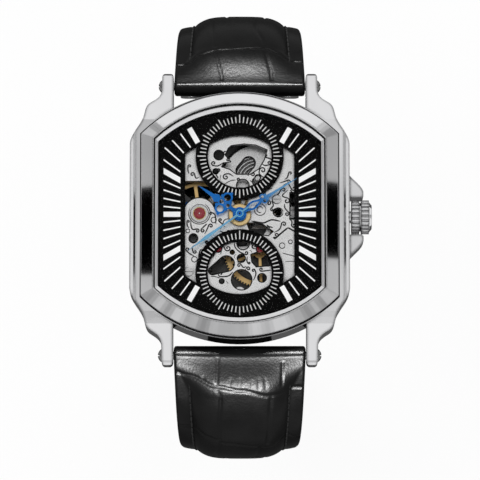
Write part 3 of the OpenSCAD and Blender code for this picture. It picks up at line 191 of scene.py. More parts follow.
def coat(name, colour, rough, scale=2500, bump=0.1, spots=0.15, **more):
    """Paint, lacquer, rubber, stone or thread with fine grain. more are constants of the shader."""
    t = Finish(name)
    fine = t.noise(scale, 3)
    t.set(Base_Color=t.tones(t.noise(220, 2), shade(colour, 1 - spots), shade(colour, 1 + spots)),
        Roughness=t.span(fine, (max(rough - 0.06, 0.02), rough + 0.06)), Normal=t.bump(fine, bump, 0.00001), **more)
    return t.owner


def glass(name, alpha, tint):
    """Thin clear glass with faint smears."""
    t = Finish(name)
    smear = t.noise(90, 2)
    t.set(Base_Color=t.tones(smear, shade(tint, 0.9), tint), Roughness=t.span(smear, (0.01, 0.04)),
        IOR=1.6, Alpha=alpha)
    return t.owner


def leather_finish(name):
    """Black leather with pores, creases and a satin sheen."""
    t = Finish(name)
    pores = t.new("TexVoronoi", Vector=t.place, Scale=2600).outputs["Distance"]
    crease = t.noise(700, 5)
    t.set(Base_Color=t.tones(t.noise(120, 2), grey(0.0003), grey(0.0006)), Roughness=t.span(crease, (0.24, 0.38)),
        Specular_IOR_Level=0.03, Normal=t.bump(crease, 0.25, 0.00008, t.bump(pores, 0.18, 0.00006)))
    return t.owner


BLUE = (0.02, 0.17, 0.55)
# Where a rim is given, a darker reflection is painted along the edges; where a depth is given, shade is painted into
# the hollows
polished = metal("polished_steel", (0.74, 0.74, 0.75), 0.03, scale=500, bump=0.01, spread=0.01, spots=0.015,
    edge=0.35, painted_rim=0.6)
case_steel = metal("middle_case_steel", (0.7, 0.7, 0.71), 0.06, scale=700, bump=0.02, spread=0.02, spots=0.02,
    edge=0.2, painted_rim=0.95)
steel = metal("case_steel", (0.7, 0.7, 0.71), 0.06, scale=700, bump=0.02, spread=0.02, spots=0.02, edge=0.1)
# Painted shade: a darkened copy of the case steel for the lug bars under the strap rolls
shaded_bar_steel = metal("shaded_steel", grey(0.2), 0.25, scale=700, bump=0.1, spread=0.05, spots=0.05)
brushed = metal("brushed_steel", (0.72, 0.72, 0.73), 0.3, grain=(90, 1, 90), scale=60, bump=0.12, spots=0.03)
back_steel = metal("back_steel", (0.7, 0.7, 0.71), 0.33, grain=(1, 60, 1), scale=60, spread=0.1, spots=0.03)
rhodium = metal("rhodium_plate", grey(0.8), 0.28, scale=5200, bump=0.5, spread=0.12, shade_depth=1.1)
# Painted shade: a dark copy of the plate's metal for the ring and bridges that lie below the plate
grey_plate = metal("grey_plate", grey(0.1), 0.42, scale=5200, bump=0.5, spread=0.12, spots=0.1, shade_depth=2)
gilt = metal("gilt_brass", (0.86, 0.64, 0.32), 0.24, scale=3000, bump=0.2, spots=0.08, edge=0.12, shade_depth=0.9,
    painted_rim=0.3)
# Painted shade: a darker copy of the gilt brass for the wheels that lie deep in the movement
shaded_gilt = metal("shaded_brass", (0.8, 0.55, 0.24), 0.3, scale=3000, bump=0.2, spots=0.1, shade_depth=3)
wheel_steel = metal("wheel_steel", grey(0.62), 0.26, scale=4000, bump=0.2, spots=0.08, shade_depth=1.2)
blued = metal("blued_steel", BLUE, 0.2, scale=2600, bump=0.2, spots=0.25, edge=0.14)
minute_blued = metal("minute_blued_steel", BLUE, 0.2, scale=2600, bump=0.2, spots=0.25, edge=0.14,
    tip=(4, 8, (0.14, 0.36, 0.62)))
light_blued = metal("light_blued_steel", (0.2, 0.47, 0.7), 0.2, scale=2600, bump=0.2, spots=0.2, edge=0.12)
lacquer = coat("black_lacquer", grey(0.002), 0.5, scale=2600, bump=0, Specular_IOR_Level=0.03)
white_print = coat("white_print", grey(0.86), 0.5, scale=3000, spots=0.03)
grey_print = coat("pale_print", grey(0.6), 0.5, scale=3000, spots=0.03)
rubber = coat("black_rubber", grey(0.006), 0.6, Specular_IOR_Level=0.2)
ruby = coat("ruby", (0.2, 0.004, 0.012), 0.12, scale=900, bump=0.02, spots=0.3, Coat_Weight=0.15)
# Black for the engraving, also used for the painted shade lines along edges and at the bezel's seam
ink_and_shade = coat("engraving_ink", grey(0.006), 0.6, Specular_IOR_Level=0.1)
thread = coat("black_thread", grey(0.006), 0.5, scale=6000, bump=0.5, Specular_IOR_Level=0.3)
crystal_glass = glass("sapphire", 0.015, grey(0.004))
back_pane = glass("back_sapphire", 0.2, (0.03, 0.032, 0.034))
leather = leather_finish("black_leather")

CAD_FINISH = {
    polished: "bezel crown",
    case_steel: "mid_case",
    steel: "crown_tube buckle_frame buckle_tongue buckle_bar",
    shaded_bar_steel: "lug_bars",
    brushed: "inner_ring",
    back_steel: "back_cover back_screws",
    rhodium: "main_plate pallet_bridge rotor",
    grey_plate: "movement_ring train_bridge barrel_bridge balance_cock",
    gilt: "hour_wheel",
    shaded_gilt: "balance_wheel fourth_wheel minute_wheel third_wheel",
    wheel_steel: "jewel_setting barrel centre_wheel winding_stem winding_pinion setting_lever crown_wheel "
        "winding_wheel ratchet_wheel click mainspring barrel_arbor cannon_pinion escape_wheel pallet_fork "
        "rotor_bearing movement_screws",
    blued: "hour_hand hairspring",
    minute_blued: "minute_hand",
    light_blued: "seconds_hand",
    lacquer: "dial",
    white_print: "hour_markers minute_ticks",
    grey_print: "subdial_ticks",
    rubber: "crystal_gasket back_gasket",
    ruby: "balance_jewel plate_jewels",
    crystal_glass: "crystal",
    back_pane: "back_glass",
}
for mat, names in CAD_FINISH.items():
    for name in names.split():
        nodes[name].data.materials.clear()
        nodes[name].data.materials.append(mat)


def mesh_object(name, verts, faces, mat, smooth=True):
    """A piece from points in millimetres."""
    me = bpy.data.meshes.new(name)
    me.from_pydata([tuple(c * MM for c in v) for v in verts], [], faces)
    me.materials.append(mat)
    me.validate()
    me.update()
    me.polygons.foreach_set("use_smooth", [smooth] * len(me.polygons))
    ob = bpy.data.objects.new(name, me)
    bpy.context.scene.collection.objects.link(ob)
    return ob


# The straps, in millimetres. s is the distance along a strap from its lug bar, x the distance across it.
# Its way is its side, the slope in degrees that its first bend ends with, and the radius it then runs on, or 0
BAR_Y, BAR_Z, START, BEND = 24.9, 2.3, 20, 21.3  # the lug bar, the slope there and the first bend's radius
UPPER, UPPER_LENGTH = (1, 90, 0), 75
LOWER, LOWER_LENGTH = (-1, 92, 150), 113
STRAP_W, END_W, TAPER_S = 24, 20, 60
EDGE_R, MARGIN_T, MARGIN_W = 0.5, 2.2, 3.1
MARGIN_FROM, MARGIN_OPENS = 1.5, 5.5  # the margin beside the padding closes up towards the lug
FALL_FROM, FALL_OVER, FALL_W, FALL = 8, 12, 3, 0.5  # the margin's slope down to the edge
PAD, PAD_RISE, PAD_FALL, PAD_END = 1.6, 6.5, 40, 62
ROLL_R, ROLL_S = 1.75, 7.5  # the roll round the lug bar, and where the strap is down to its own thickness
BUCKLE_S, BUCKLE_R = 76.2, 1.3  # the roll round the buckle's bar
POINT_S = 12
SLOT_HALF, SLOT_FROM, SLOT_TO = 1.4, -2.6, 4  # for the tongue, from the buckle's bar
HOLES, LAST_HOLE, HOLE_PITCH, HOLE_R, HOLE_SIDES = 7, 85, 6.5, 1, 28
STITCH_IN, STITCH, STITCH_PITCH, THREAD_R, FIRST_STITCH = 2.7, 1.05, 1.55, 0.2, 4.6
SEAM_DEPTH, SEAM_W = 0.12, 0.35
GROOVE_W, GROOVE_DEPTH = 0.2, 0.2
ACROSS, KIND_DEPTH, DEPTH_AT_BAR, NEAR_BAR = 0, (1, 1.3, 0.3), 0.6, 7
LOOP_T, LOOP_R = 1.2, 1.6


def clamp(v, low=0.0, high=1.0):
    return max(low, min(high, v))


def ease(v):
    return v * v * (3 - 2 * v)


def course(way, s):
    """Where a strap's middle line is at the distance s from its bar: out from the case, up, and its slope."""
    turn, bend = way[1:]
    first = BEND * math.radians(turn - START)
    a = math.radians(START) + min(s, first) / BEND
    st = math.radians(START)
    y = BAR_Y + BEND * (math.sin(a) - math.sin(st))
    z = BAR_Z - BEND * (math.cos(st) - math.cos(a))
    rest = max(s - first, 0)
    if bend == 0:
        return y + rest * math.cos(a), z - rest * math.sin(a), a
    b = a + rest / bend
    return y + bend * (math.sin(b) - math.sin(a)), z - bend * (math.cos(a) - math.cos(b)), b


def half_width(s):
    return (STRAP_W - (STRAP_W - END_W) * min(s / TAPER_S, 1)) / 2


def edge_drop(x, half):
    """How far a face sinks towards its rounded edge."""
    return EDGE_R * (1 - math.sqrt(1 - clamp((abs(x) - half + EDGE_R) / EDGE_R) ** 2))


def margin_drop(s, x, half, most=FALL):
    """How far the margin slopes down beside the padding."""
    return most * clamp((s - FALL_FROM) / FALL_OVER) * clamp((abs(x) - half + FALL_W) / FALL_W) ** 2


def pad_height(s, x, half):
    """Height of the padding above the margins: a rise from the roll, a crowned middle and rounded sides."""
    rise = ease(clamp(s / PAD_RISE))
    fall = clamp((PAD_END - s) / PAD_FALL)
    margin = MARGIN_W * clamp((s - MARGIN_FROM) / MARGIN_OPENS) ** 0.7
    v = min(abs(x) / (half - margin + 0.25), 1)
    side = 4.5 - 2.3 * clamp((7 - s) / 6)
    return PAD * (1.08 * rise * fall * (2 - fall) * (1 - v ** side) - 0.1 * v * v)


def groove(x, s, lines):
    """Share of the grooves' depth at a point. Lines are (kind, points): 0 across, 1 along, 2 along and faint."""
    deep = 0.0
    for kind, pts in lines:
        u, v = (x, s) if kind == ACROSS else (s, x)
        if u < pts[0][0] - GROOVE_W or u > pts[-1][0] + GROOVE_W:
            continue
        for (u0, v0), (u1, v1) in zip(pts, pts[1:]):
            if u0 - 1e-6 <= u <= u1 + 1e-6:
                d = v - (v0 + (v1 - v0) * ease((u - u0) / (u1 - u0)))
                gain = DEPTH_AT_BAR if kind == 1 and s < NEAR_BAR else KIND_DEPTH[kind]
                deep = max(deep, gain * math.exp(-(d / GROOVE_W) ** 2))
                break
    return deep


def strap(name, way, length, pointed, lines):
    """Padded strap: a closed skin round the bar and along both faces, with scale grooves on the outer face.

    A pointed strap rounds off to its end. The other one rolls round the buckle's bar.
    """
    side = way[0]
    columns, rows, turns, end_rows = 96, 330, 18, 8
    stations = [length * (i / rows) ** 1.12 for i in range(rows + 1)]
    if not pointed:
        stations += [length + 0.4 * k for k in range(1, 4)]
        stations += [BUCKLE_S + BUCKLE_R * math.sin(math.pi / 2 * k / end_rows) for k in range(1, end_rows)]
        stations += [BUCKLE_S + BUCKLE_R * 0.998]
    spread = [j / (columns / 2) - 1 for j in range(columns + 1)]
    spread = [0.35 * math.sin(math.pi / 2 * v) + 0.65 * v for v in spread]
    path = [("outer", s) for s in reversed(stations)] + [("roll", k / turns) for k in range(1, turns)]
    path += [("inner", s) for s in stations]
    verts, faces = [], []
    for k in spread:
        for face, s in path:
            if face == "roll":
                y0, z0, a = course(way, 0)
                half = half_width(0)
                angle = math.pi / 2 + s * math.pi - a
                r = ROLL_R - edge_drop(k * half, half)
                verts.append((k * half, side * (y0 + r * math.cos(angle)), z0 + r * math.sin(angle)))
                continue
            y0, z0, a = course(way, s)
            u = clamp((s - length + POINT_S) / POINT_S) if pointed else 0
            half = half_width(s) * math.sqrt(1 - u * u * 0.9)
            x = k * half
            edge = edge_drop(x, half)
            te = MARGIN_T / 2 + (ROLL_R - MARGIN_T / 2) * ease(clamp(1 - s / ROLL_S))
            if not pointed and s > length:
                roll_t = BUCKLE_R * math.sqrt(max(0, 1 - ((s - BUCKLE_S) / BUCKLE_R) ** 2))
                te = roll_t if s > BUCKLE_S else max(te, roll_t)
            if face == "outer":
                h = te + pad_height(s, x, half) - min(edge, te * 0.4)
                h -= GROOVE_DEPTH * groove(x, s, lines)
                h -= SEAM_DEPTH * math.exp(-((abs(x) - half + STITCH_IN) / SEAM_W) ** 2) * clamp((s - 6) / 2)
                h -= margin_drop(s, x, half, min(FALL, te / 2))
            else:
                h = -(te - min(edge, te * 0.8))
            verts.append((x, side * (y0 + math.sin(a) * h), z0 + math.cos(a) * h))
    m = len(path)
    for j in range(columns):
        for i in range(m):
            n = (i + 1) % m
            q = [j * m + i, j * m + n, (j + 1) * m + n, (j + 1) * m + i]
            faces.append(q if side < 0 else q[::-1])
    for base, flip in ((0, side < 0), (columns * m, side > 0)):
        for i in range(m // 2 - 1):
            q = [base + i, base + i + 1, base + m - 2 - i, base + m - 1 - i]
            faces.append(q[::-1] if flip else q)
    return mesh_object(name, verts, faces, leather)


def punch_out(ob, verts, faces):
    """Cuts closed shapes out of a skin and keeps the cut's edges crisp."""
    punch = mesh_object("punch", verts, faces, leather, smooth=False)
    bm = bmesh.new()
    bm.from_mesh(punch.data)
    bmesh.ops.recalc_face_normals(bm, faces=bm.faces)
    bm.to_mesh(punch.data)
    bm.free()
    cut = ob.modifiers.new("cut", "BOOLEAN")
    cut.operation = "DIFFERENCE"
    cut.object = punch
    cut.solver = "EXACT"
    graph = bpy.context.evaluated_depsgraph_get()
    pierced = bpy.data.meshes.new_from_object(ob.evaluated_get(graph))
    ob.modifiers.clear()
    ob.data = pierced
    pierced.set_sharp_from_angle(angle=math.radians(82))
    bpy.data.objects.remove(punch)


def prism(outline, way, s, reach=4):
    """A prism through the strap at a station, on an outline of (across, along) points."""
    side = way[0]
    y0, z0, a = course(way, s)
    out = Vector((0, side * math.sin(a), math.cos(a)))
    along = Vector((0, side * math.cos(a), -math.sin(a)))
    n = len(outline)
    verts = [tuple(Vector((x, side * y0, z0)) + out * h + along * q) for h in (-reach, reach) for x, q in outline]
    faces = [list(range(n))[::-1], [n + k for k in range(n)]]
    faces += [[k, (k + 1) % n, n + (k + 1) % n, n + k] for k in range(n)]
    return verts, faces


def keeper(node):
    """A leather loop with rounded corners and edges in the box of its CAD solid."""
    low, high = [c * 1000 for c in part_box(node)]
    mid = (low + high) / 2
    hx, hy, hz = (high - low) / 2
    hx, hy = hx - LOOP_T / 2, hy - LOOP_T / 2
    arc_steps, side_steps, seg = 8, 24, 28
    path = []
    for sx, sy, first in ((1, 1, 0), (-1, 1, 90), (-1, -1, 180), (1, -1, 270)):
        for k in range(arc_steps + 1):
            a = math.radians(first + 90 * k / arc_steps)
            nx, ny = math.cos(a), math.sin(a)
            path.append((sx * (hx - LOOP_R) + LOOP_R * nx, sy * (hy - LOOP_R) + LOOP_R * ny, nx, ny))
    rows = []
    for i, (x, y, nx, ny) in enumerate(path):
        rows.append((x, y, nx, ny))
        x2, y2 = path[(i + 1) % len(path)][:2]
        if abs(x - x2) + abs(y - y2) > 2:
            for f in range(1, side_steps):
                rows.append((x + (x2 - x) * f / side_steps, y + (y2 - y) * f / side_steps, nx, ny))
    verts, faces = [], []
    for x, y, nx, ny in rows:
        for k in range(seg):
            t = 2 * math.pi * k / seg
            c, d = math.cos(t), math.sin(t)
            u = LOOP_T / 2 * math.copysign(abs(c) ** 0.45, c)
            v = (hz - 0.02) * math.copysign(abs(d) ** 0.3, d)
            if c > 0:
                u -= 0.1 * math.exp(-((abs(v) - hz + 0.9) / 0.2) ** 2)
            verts.append((mid.x + x + nx * u, mid.y + y + ny * u, mid.z + v))
    n = len(rows)
    for i in range(n):
        for k in range(seg):
            j, q = (i + 1) % n, (k + 1) % seg
            faces.append([i * seg + k, j * seg + k, j * seg + q, i * seg + q])
    ob = mesh_object(node + "_leather", verts, faces, leather)
    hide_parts(node)
    return ob


def capsule(verts, faces, a, b, r, seg=7):
    """Adds a rounded thread segment from a to b."""
    axis = (b - a).normalized()
    up = Vector((0, 0, 1)) if abs(axis.z) < 0.9 else Vector((1, 0, 0))
    u = axis.cross(up).normalized()
    v = axis.cross(u)
    base = len(verts)
    rings = [(-0.9, 0.35), (-0.5, 0.85), (0.2, 1.0)]
    stops = [(a, q, k) for q, k in rings] + [(b, -q, k) for q, k in reversed(rings)]
    for p, q, k in stops:
        c = p + axis * q * r
        for n in range(seg):
            t = 2 * math.pi * n / seg
            verts.append(tuple(c + (u * math.cos(t) + v * math.sin(t)) * r * k))
    for i in range(len(stops) - 1):
        for n in range(seg):
            low, high, q = base + i * seg, base + (i + 1) * seg, (n + 1) % seg
            faces.append([low + n, low + q, high + q, high + n])
    faces.append([base + n for n in range(seg)][::-1])
    faces.append([base + (len(stops) - 1) * seg + n for n in range(seg)])


def stitches(name, way, end):
    """Two rows of stitches that lie in the seam beside the padding."""
    side = way[0]
    verts, faces = [], []
    for sx in (-1, 1):
        s = FIRST_STITCH
        while s < end:
            ends = []
            for q in (s, s + STITCH):
                y0, z0, a = course(way, q)
                half = half_width(q)
                x = sx * (half - STITCH_IN)
                h = MARGIN_T / 2 + pad_height(q, x, half) - 0.02 - margin_drop(q, x, half)
                ends.append(Vector((x, side * (y0 + math.sin(a) * h), z0 + math.cos(a) * h)))
            capsule(verts, faces, *ends, THREAD_R)
            s += STITCH_PITCH
    return mesh_object(name, verts, faces, thread)


# Grooves between the scales of the leather: kind, and points (across, along) or (along, across)
upper_lines = [
    (0, [(-12, 3.7), (-9.1, 4.0), (-7.7, 5.4), (-3.25, 6.1), (4.4, 6.6), (7.3, 5.7), (9.05, 4.7), (12, 4.8)]),
    (0, [(-12, 19.5), (-8, 18.5), (-1, 20.0), (4, 18.8), (8, 19.5), (12, 19)]),
    (0, [(-12, 33), (-6, 31.5), (0, 33), (6, 31), (12, 32.5)]),
    (0, [(-12, 46), (-6, 47), (0, 45.5), (6, 47), (12, 46)]),
    (0, [(-12, 58), (-6, 59), (0, 57.5), (6, 59), (12, 58)]),
    (1, [(0.3, -3.3), (6, -4.4), (8, -4.7), (12.8, -5.1), (18.8, -5.3)]),
    (1, [(0.3, 5.9), (7.8, 4.4), (12.8, 3.05), (19, 2.6)]),
    (1, [(19, -2.5), (26, -2.2), (32, -2.8)]), (1, [(19, 4.6), (26, 5), (31.4, 4.5)]),
    (1, [(32, -4.6), (39, -4.2), (46.4, -4.4)]), (1, [(32, 2.2), (39, 2.0), (46, 2.4)]),
    (1, [(46, -3.1), (52, -3.4), (58, -3.0)]), (1, [(46, 3.6), (52, 3.4), (58, 3.8)]),
]
lower_lines = [
    (0, [(-12, 2.5), (-9.3, 3.1), (-4.2, 4.8), (0.5, 5.5), (5.2, 6.5), (6.9, 6.4), (9.8, 5.6), (12, 5.6)]),
    (0, [(-12, 15), (-9, 15), (-8, 14.9), (-5.7, 16.2), (-2.4, 17.8), (3, 18.8), (5.6, 19.5), (8.5, 17.6), (12, 20)]),
    (0, [(-12, 31), (-7, 29.5), (-1, 30.5), (4, 29), (8, 30.5), (12, 30)]),
    (0, [(-12, 45), (-6, 43.5), (0, 45), (6, 43), (12, 44.5)]),
    (0, [(-12, 59), (-6, 60), (0, 58.5), (6, 60), (12, 59)]),
    (0, [(-12, 74), (-6, 73), (0, 74.5), (6, 73), (12, 74)]),
    (1, [(-0.3, -4.0), (2.4, -4.0), (4.4, -4.2)]), (1, [(0.8, 7.8), (5, 7.7)]),
    (1, [(5.2, -4.1), (6.6, -3.5), (12.5, -3.7), (17, -3.8)]), (1, [(6.6, 5.7), (12, 5.4), (18.6, 5.1)]),
    (1, [(17.6, -3.6), (24, -4.4), (30, -4.0)]), (1, [(18.4, 3.8), (24, 3.2), (29, 4.4)]),
    (1, [(30, -2.5), (37, -2.2), (44.2, -2.8)]), (1, [(29.6, 4.6), (37, 5), (43.4, 4.5)]),
    (1, [(44, -4.6), (51, -4.2), (59, -4.4)]), (1, [(44, 2.2), (51, 2.0), (59, 2.4)]),
    (1, [(59, -2.6), (66, -2.2), (74, -2.4)]), (1, [(59, 3.2), (66, 3.0), (73.6, 3.4)]),
    (2, [(3.2, -6.6), (4.0, -6.5)]), (2, [(3.4, 0.1), (4.9, -0.1)]), (2, [(3.6, 2.3), (5.3, 2.2)]),
    (2, [(3.5, 3.4), (5.4, 3.5)]), (2, [(3.3, 4.6), (5.6, 4.8)]), (2, [(3.4, -1.6), (4.9, -1.9)]),
]
upper = strap("strap_upper_skin", UPPER, UPPER_LENGTH, False, upper_lines)
slot = [(-SLOT_HALF, SLOT_FROM), (SLOT_HALF, SLOT_FROM), (SLOT_HALF, SLOT_TO), (-SLOT_HALF, SLOT_TO)]
punch_out(upper, *prism(slot, UPPER, BUCKLE_S))
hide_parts("strap_upper")
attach(upper, "strap_upper")
lower = strap("strap_lower_skin", LOWER, LOWER_LENGTH, True, lower_lines)
hole_angles = [2 * math.pi * k / HOLE_SIDES for k in range(HOLE_SIDES)]
hole = [(HOLE_R * math.cos(a), HOLE_R * math.sin(a)) for a in hole_angles]
hole_v, hole_f = [], []
for i in range(HOLES):
    v, f = prism(hole, LOWER, LAST_HOLE - HOLE_PITCH * i)
    hole_f += [[len(hole_v) + k for k in face] for face in f]
    hole_v += v
punch_out(lower, hole_v, hole_f)
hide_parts("strap_lower")
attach(lower, "strap_lower")
fixed_loop = keeper("fixed_keeper")
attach(fixed_loop, "strap_upper")
sliding_loop = keeper("sliding_keeper")
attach(sliding_loop, "sliding_keeper")
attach(stitches("stitches_upper", UPPER, 66), "strap_upper")
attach(stitches("stitches_lower", LOWER, 98), "strap_lower")


# Engraving on the main plate, in millimetres. A scroll is its centre, radius, degrees of turn and tail
SCROLLS = [
    (-7.66, -2.89, 0.36, 420, [(-8.59, -2.56), (-8.87, -1.28), (-8.59, 0.66)]),
    (-6.66, -2.82, 0.39, -400, [(-6.01, -1.66), (-6.21, -1.92)]),
    (-5.24, -1.99, 0.39, 400, [(-5.89, -2.56), (-6.34, -3.47)]),
    (-5.24, 0.27, 0.28, -380, [(-4.47, 0.01), (-4.31, -1.66)]),
    (8.57, 0.24, 0.41, 420, [(8.22, 1.3), (8.16, 2.07)]),
    (8.03, -1.66, 0.45, 400, [(7.26, -2.56), (6.23, -3.21)]),
    (6.64, -3.65, 0.41, -400, [(6.16, -4.11), (6.35, -4.37)]),
    (9.86, -1.86, 0.44, -400, [(9.45, -1.15), (8.93, -0.63)]),
    (-2.15, -6.07, 0.54, -420, [(-3.05, -5.66), (-3.44, -7.2)]),
    (-3.76, -6.58, 0.44, 400, [(-4.47, -6.95), (-4.85, -7.72)]),
    (1.2, -6.92, 0.36, -400, [(-0.09, -6.69), (-0.86, -5.79), (-0.89, -4.76)]),
    (2.68, -5.66, 0.54, 400, [(3.58, -5.91), (3.39, -5.14)]),
    (-0.09, -9.2, 0.36, -400, [(0.69, -9.59), (1.2, -9.39)]),
    (1.56, -9.84, 0.36, 400, [(0.81, -10.3), (0.3, -10.1)]),
    (2.49, -10.17, 0.31, -380, [(2.94, -10.81), (2.49, -11.97)]),
    (3.93, -9.93, 0.36, 400, [(4.81, -10.19), (5.71, -10.1)]),
    (1.72, -8.75, 0.21, -360, [(1.3, -8.36), (1.39, -7.59)]),
    (-3.44, -10.75, 0.52, 380, [(-2.66, -11.26), (-1.89, -11.07), (-1.25, -10.42)]),
    (-4.73, 9.54, 0.44, 420, [(-3.95, 9.06), (-2.86, 9.71)]),
    (-2.66, 11.38, 0.39, -380, [(-1.89, 10.93), (-1.5, 11.19)]),
    (-2.15, 10.22, 0.28, 360, [(-1.7, 10.74), (-1.38, 10.8)]),
    (-2.51, 7, 0.54, -420, [(-1.89, 7.58), (-1.12, 7.13)]),
    (4.19, 8.23, 0.57, 420, [(3.58, 7.58), (4.42, 6.87)]),
    (5.32, 9.62, 0.36, -380, [(4.55, 9.13), (4.04, 9.51)]),
    (4.81, 10.91, 0.31, 360, [(5.45, 10.42), (5.84, 10.16)]),
    (2.42, 7.58, 0.36, -380, [(1.72, 7.97), (1.52, 7.19)]),
    (9.19, 7.68, 0.31, 340, [(8.67, 6.94), (8.16, 6.55)]),
    (-8.59, 7.48, 0.39, -400, [(-7.95, 6.81), (-7.43, 6.94)]),
    (8.54, 2.62, 0.53, 400, [(7.75, 3.58), (8.78, 4.61)]),
    (9.8, 4.9, 0.41, -380, [(8.78, 5.78), (7.9, 5.49)]),
    (7.96, 4.61, 0.41, 380, [(7.02, 3.88), (6.29, 3.44)]),
    (5.3, 2.2, 0.42, 400, [(4.5, 2.5), (4.0, 3.3)]),
    (4.5, 4.1, 0.34, -380, [(5.1, 4.7), (5.9, 4.9)]),
    (8.9, 6.1, 0.36, 380, [(8.2, 6.2), (7.3, 5.9)]),
    (5.9, 1.0, 0.3, -360, [(6.1, 1.8), (5.8, 2.6)]),
    (9.3, 3.4, 0.3, 360, [(9.5, 4.1), (9.2, 4.6)]),
    (9.3, 1.3, 0.34, -400, [(9.5, 0.4), (9.2, -0.4)]),
    (4.4, -2.5, 0.34, 380, [(5.1, -2.1), (6.0, -2.3)]),
    (5.5, -3.0, 0.3, -360, [(5.4, -2.3), (4.9, -1.8)]),
    (-9.3, -1.2, 0.26, 360, [(-9.5, -1.9), (-9.2, -2.4)]),
    (-9.4, -6.3, 0.36, 400, [(-9.0, -7.1), (-8.3, -7.5)]),
    (-8.1, -6.7, 0.34, -380, [(-8.6, -6.0), (-8.3, -5.6)]),
    (-6.9, -6.6, 0.3, 360, [(-7.4, -7.4), (-7.3, -8.2)]),
    (-3.5, -0.9, 0.32, 380, [(-3.1, -1.8), (-3.6, -2.6)]),
    (-2.1, -3.0, 0.3, -360, [(-2.9, -3.2), (-3.6, -2.9)]),
    (-9.1, 9.0, 0.3, 360, [(-9.4, 8.2), (-9.2, 7.6)]),
    (1.0, 12.2, 0.3, 360, [(0.2, 12.5), (-0.7, 12.3)]),
    (-3.9, 8.3, 0.32, -360, [(-4.3, 7.6), (-3.9, 6.8)]),
    (-0.2, 6.6, 0.3, 380, [(0.6, 6.3), (1.2, 6.6)]),
    (3.1, 9.0, 0.3, 360, [(3.3, 9.8), (3.9, 10.4)]),
    (-2.6, -8.2, 0.34, 380, [(-3.2, -8.9), (-3.9, -9.1)]),
    (0.6, -8.0, 0.32, -360, [(0.2, -8.6), (-0.4, -8.6)]),
    (3.7, -7.9, 0.3, 360, [(4.4, -7.6), (4.9, -8.1)]),
    (-1.2, -11.6, 0.3, 360, [(-0.5, -11.9), (0.0, -12.4)]),
]
# Cuts: width and points. The last ones are a hatching
CUTS = [
    (0.3, [(6.29, -4.43), (7.51, -3.34), (8.74, -2.31)]),
    (0.3, [(8.74, -2.31), (9.45, -2.69), (10.22, -3.14)]),
    (0.28, [(2.1, -1.08), (3.13, -1.28), (4.29, -1.43), (5.19, -1.08), (5.97, -0.86), (7.39, -1.15)]),
    (0.16, [(-5.24, -11.22), (-4.47, -11.26), (-3.57, -11.52)]),
    (0.16, [(7.77, -6.97), (8.93, -7.27), (10.22, -7.62)]),
    (0.12, [(8.29, -8.52), (9.06, -8.47), (9.96, -8.49)]),
    (0.12, [(-2.41, -12.1), (-2.21, -12.36), (-2.08, -12.55)]),
    (0.1, [(-0.73, -7.2), (-0.99, -7.59), (-0.8, -7.98)]),
    (0.1, [(1.85, -6.43), (2.1, -6.62), (2.23, -6.95)]),
    (0.16, [(-0.73, 6.45), (-1.63, 6.32), (-2.73, 5.71)]),
    (0.1, [(-3.44, 7.39), (-3.54, 6.81), (-3.57, 6.23)]),
    (0.12, [(1.85, 6.4), (2.36, 5.97), (2.88, 5.52)]),
    (0.14, [(3.58, 12.54), (4.36, 12.28), (5.13, 11.81)]),
    (0.1, [(3.33, 12.48), (3.46, 11.83), (3.58, 11.19)]),
] + [(0.13, [(2.3 + 0.32 * i, -1.5 - 0.05 * i), (2.45 + 0.32 * i, -1.9 - 0.06 * i), (2.7 + 0.32 * i, -2.3 - 0.07 * i)])
    for i in range(8)]
# Rings: centre, radius, first and last degree
RINGS = [
    (-7.3, 0.3, 1.95, 150, 420), (3.7, 1.0, 1.05, 0, 360), (3.7, 1.0, 0.55, 20, 300), (-8.4, -4.2, 0.8, 0, 360),
    (7.0, 0.5, 0.85, 0, 360), (7.0, 0.5, 0.45, 0, 360), (-9.4, -2.9, 0.35, 0, 360), (-8.2, -8.1, 0.5, 0, 360),
    (6.7, 2.9, 0.8, 0, 360), (-4.7, -0.9, 0.5, 0, 360), (-2.2, -1.5, 0.8, 30, 250), (7.7, -5.6, 0.5, 0, 360),
    (-3.5, 2.9, 0.6, 200, 420), (9.2, -4.9, 0.35, 0, 360), (0.1, -13.2, 2.0, 30, 150),
]
PLATE_TOP = 8.7
LINE_T, SCROLL_W, RING_W = 0.012, 0.24, 0.17
# Painted shade lines along the plate's edges: half width, overhang at their ends, lift above the face and reach from
# the centre
EDGE_HALF, EDGE_OVER, EDGE_LIFT, EDGE_REACH = 0.1, 0.04, 0.008, 14.5


def smooth_path(pts, n=6):
    """Points on a smooth curve through pts."""
    out = []
    for i in range(len(pts) - 1):
        p0, p1, p2 = Vector(pts[max(i - 1, 0)]), Vector(pts[i]), Vector(pts[i + 1])
        p3 = Vector(pts[min(i + 2, len(pts) - 1)])
        for j in range(n):
            t = j / n
            out.append(0.5 * (2 * p1 + (p2 - p0) * t + (2 * p0 - 5 * p1 + 4 * p2 - p3) * t * t
                + (3 * p1 - p0 - 3 * p2 + p3) * t ** 3))
    out.append(Vector(pts[-1]))
    return out


def corners(name):
    """The corners of a node in millimetres."""
    ob = nodes[name]
    return [ob.matrix_world @ v.co * 1000 for v in ob.data.vertices]


def top_of(name):
    """Centre and top of a node in millimetres."""
    xs, ys, zs = zip(*corners(name))
    return (min(xs) + max(xs)) / 2, (min(ys) + max(ys)) / 2, max(zs)


plate_faces = [p.vertices[:] for p in nodes["main_plate"].data.polygons]
plate_tree = BVHTree.FromPolygons(corners("main_plate"), plate_faces)


def runs_on_plate(pts):
    """The parts of a path that lie over the plate's top face, not over its windows."""
    runs, run = [], []
    for p in pts:
        hit = plate_tree.ray_cast(Vector((p.x, p.y, PLATE_TOP + 0.3)), Vector((0, 0, -1)))[0]
        if hit and hit.z > PLATE_TOP - 0.05:
            run.append(p)
        else:
            runs.append(run)
            run = []
    return [r for r in runs + [run] if len(r) > 2]


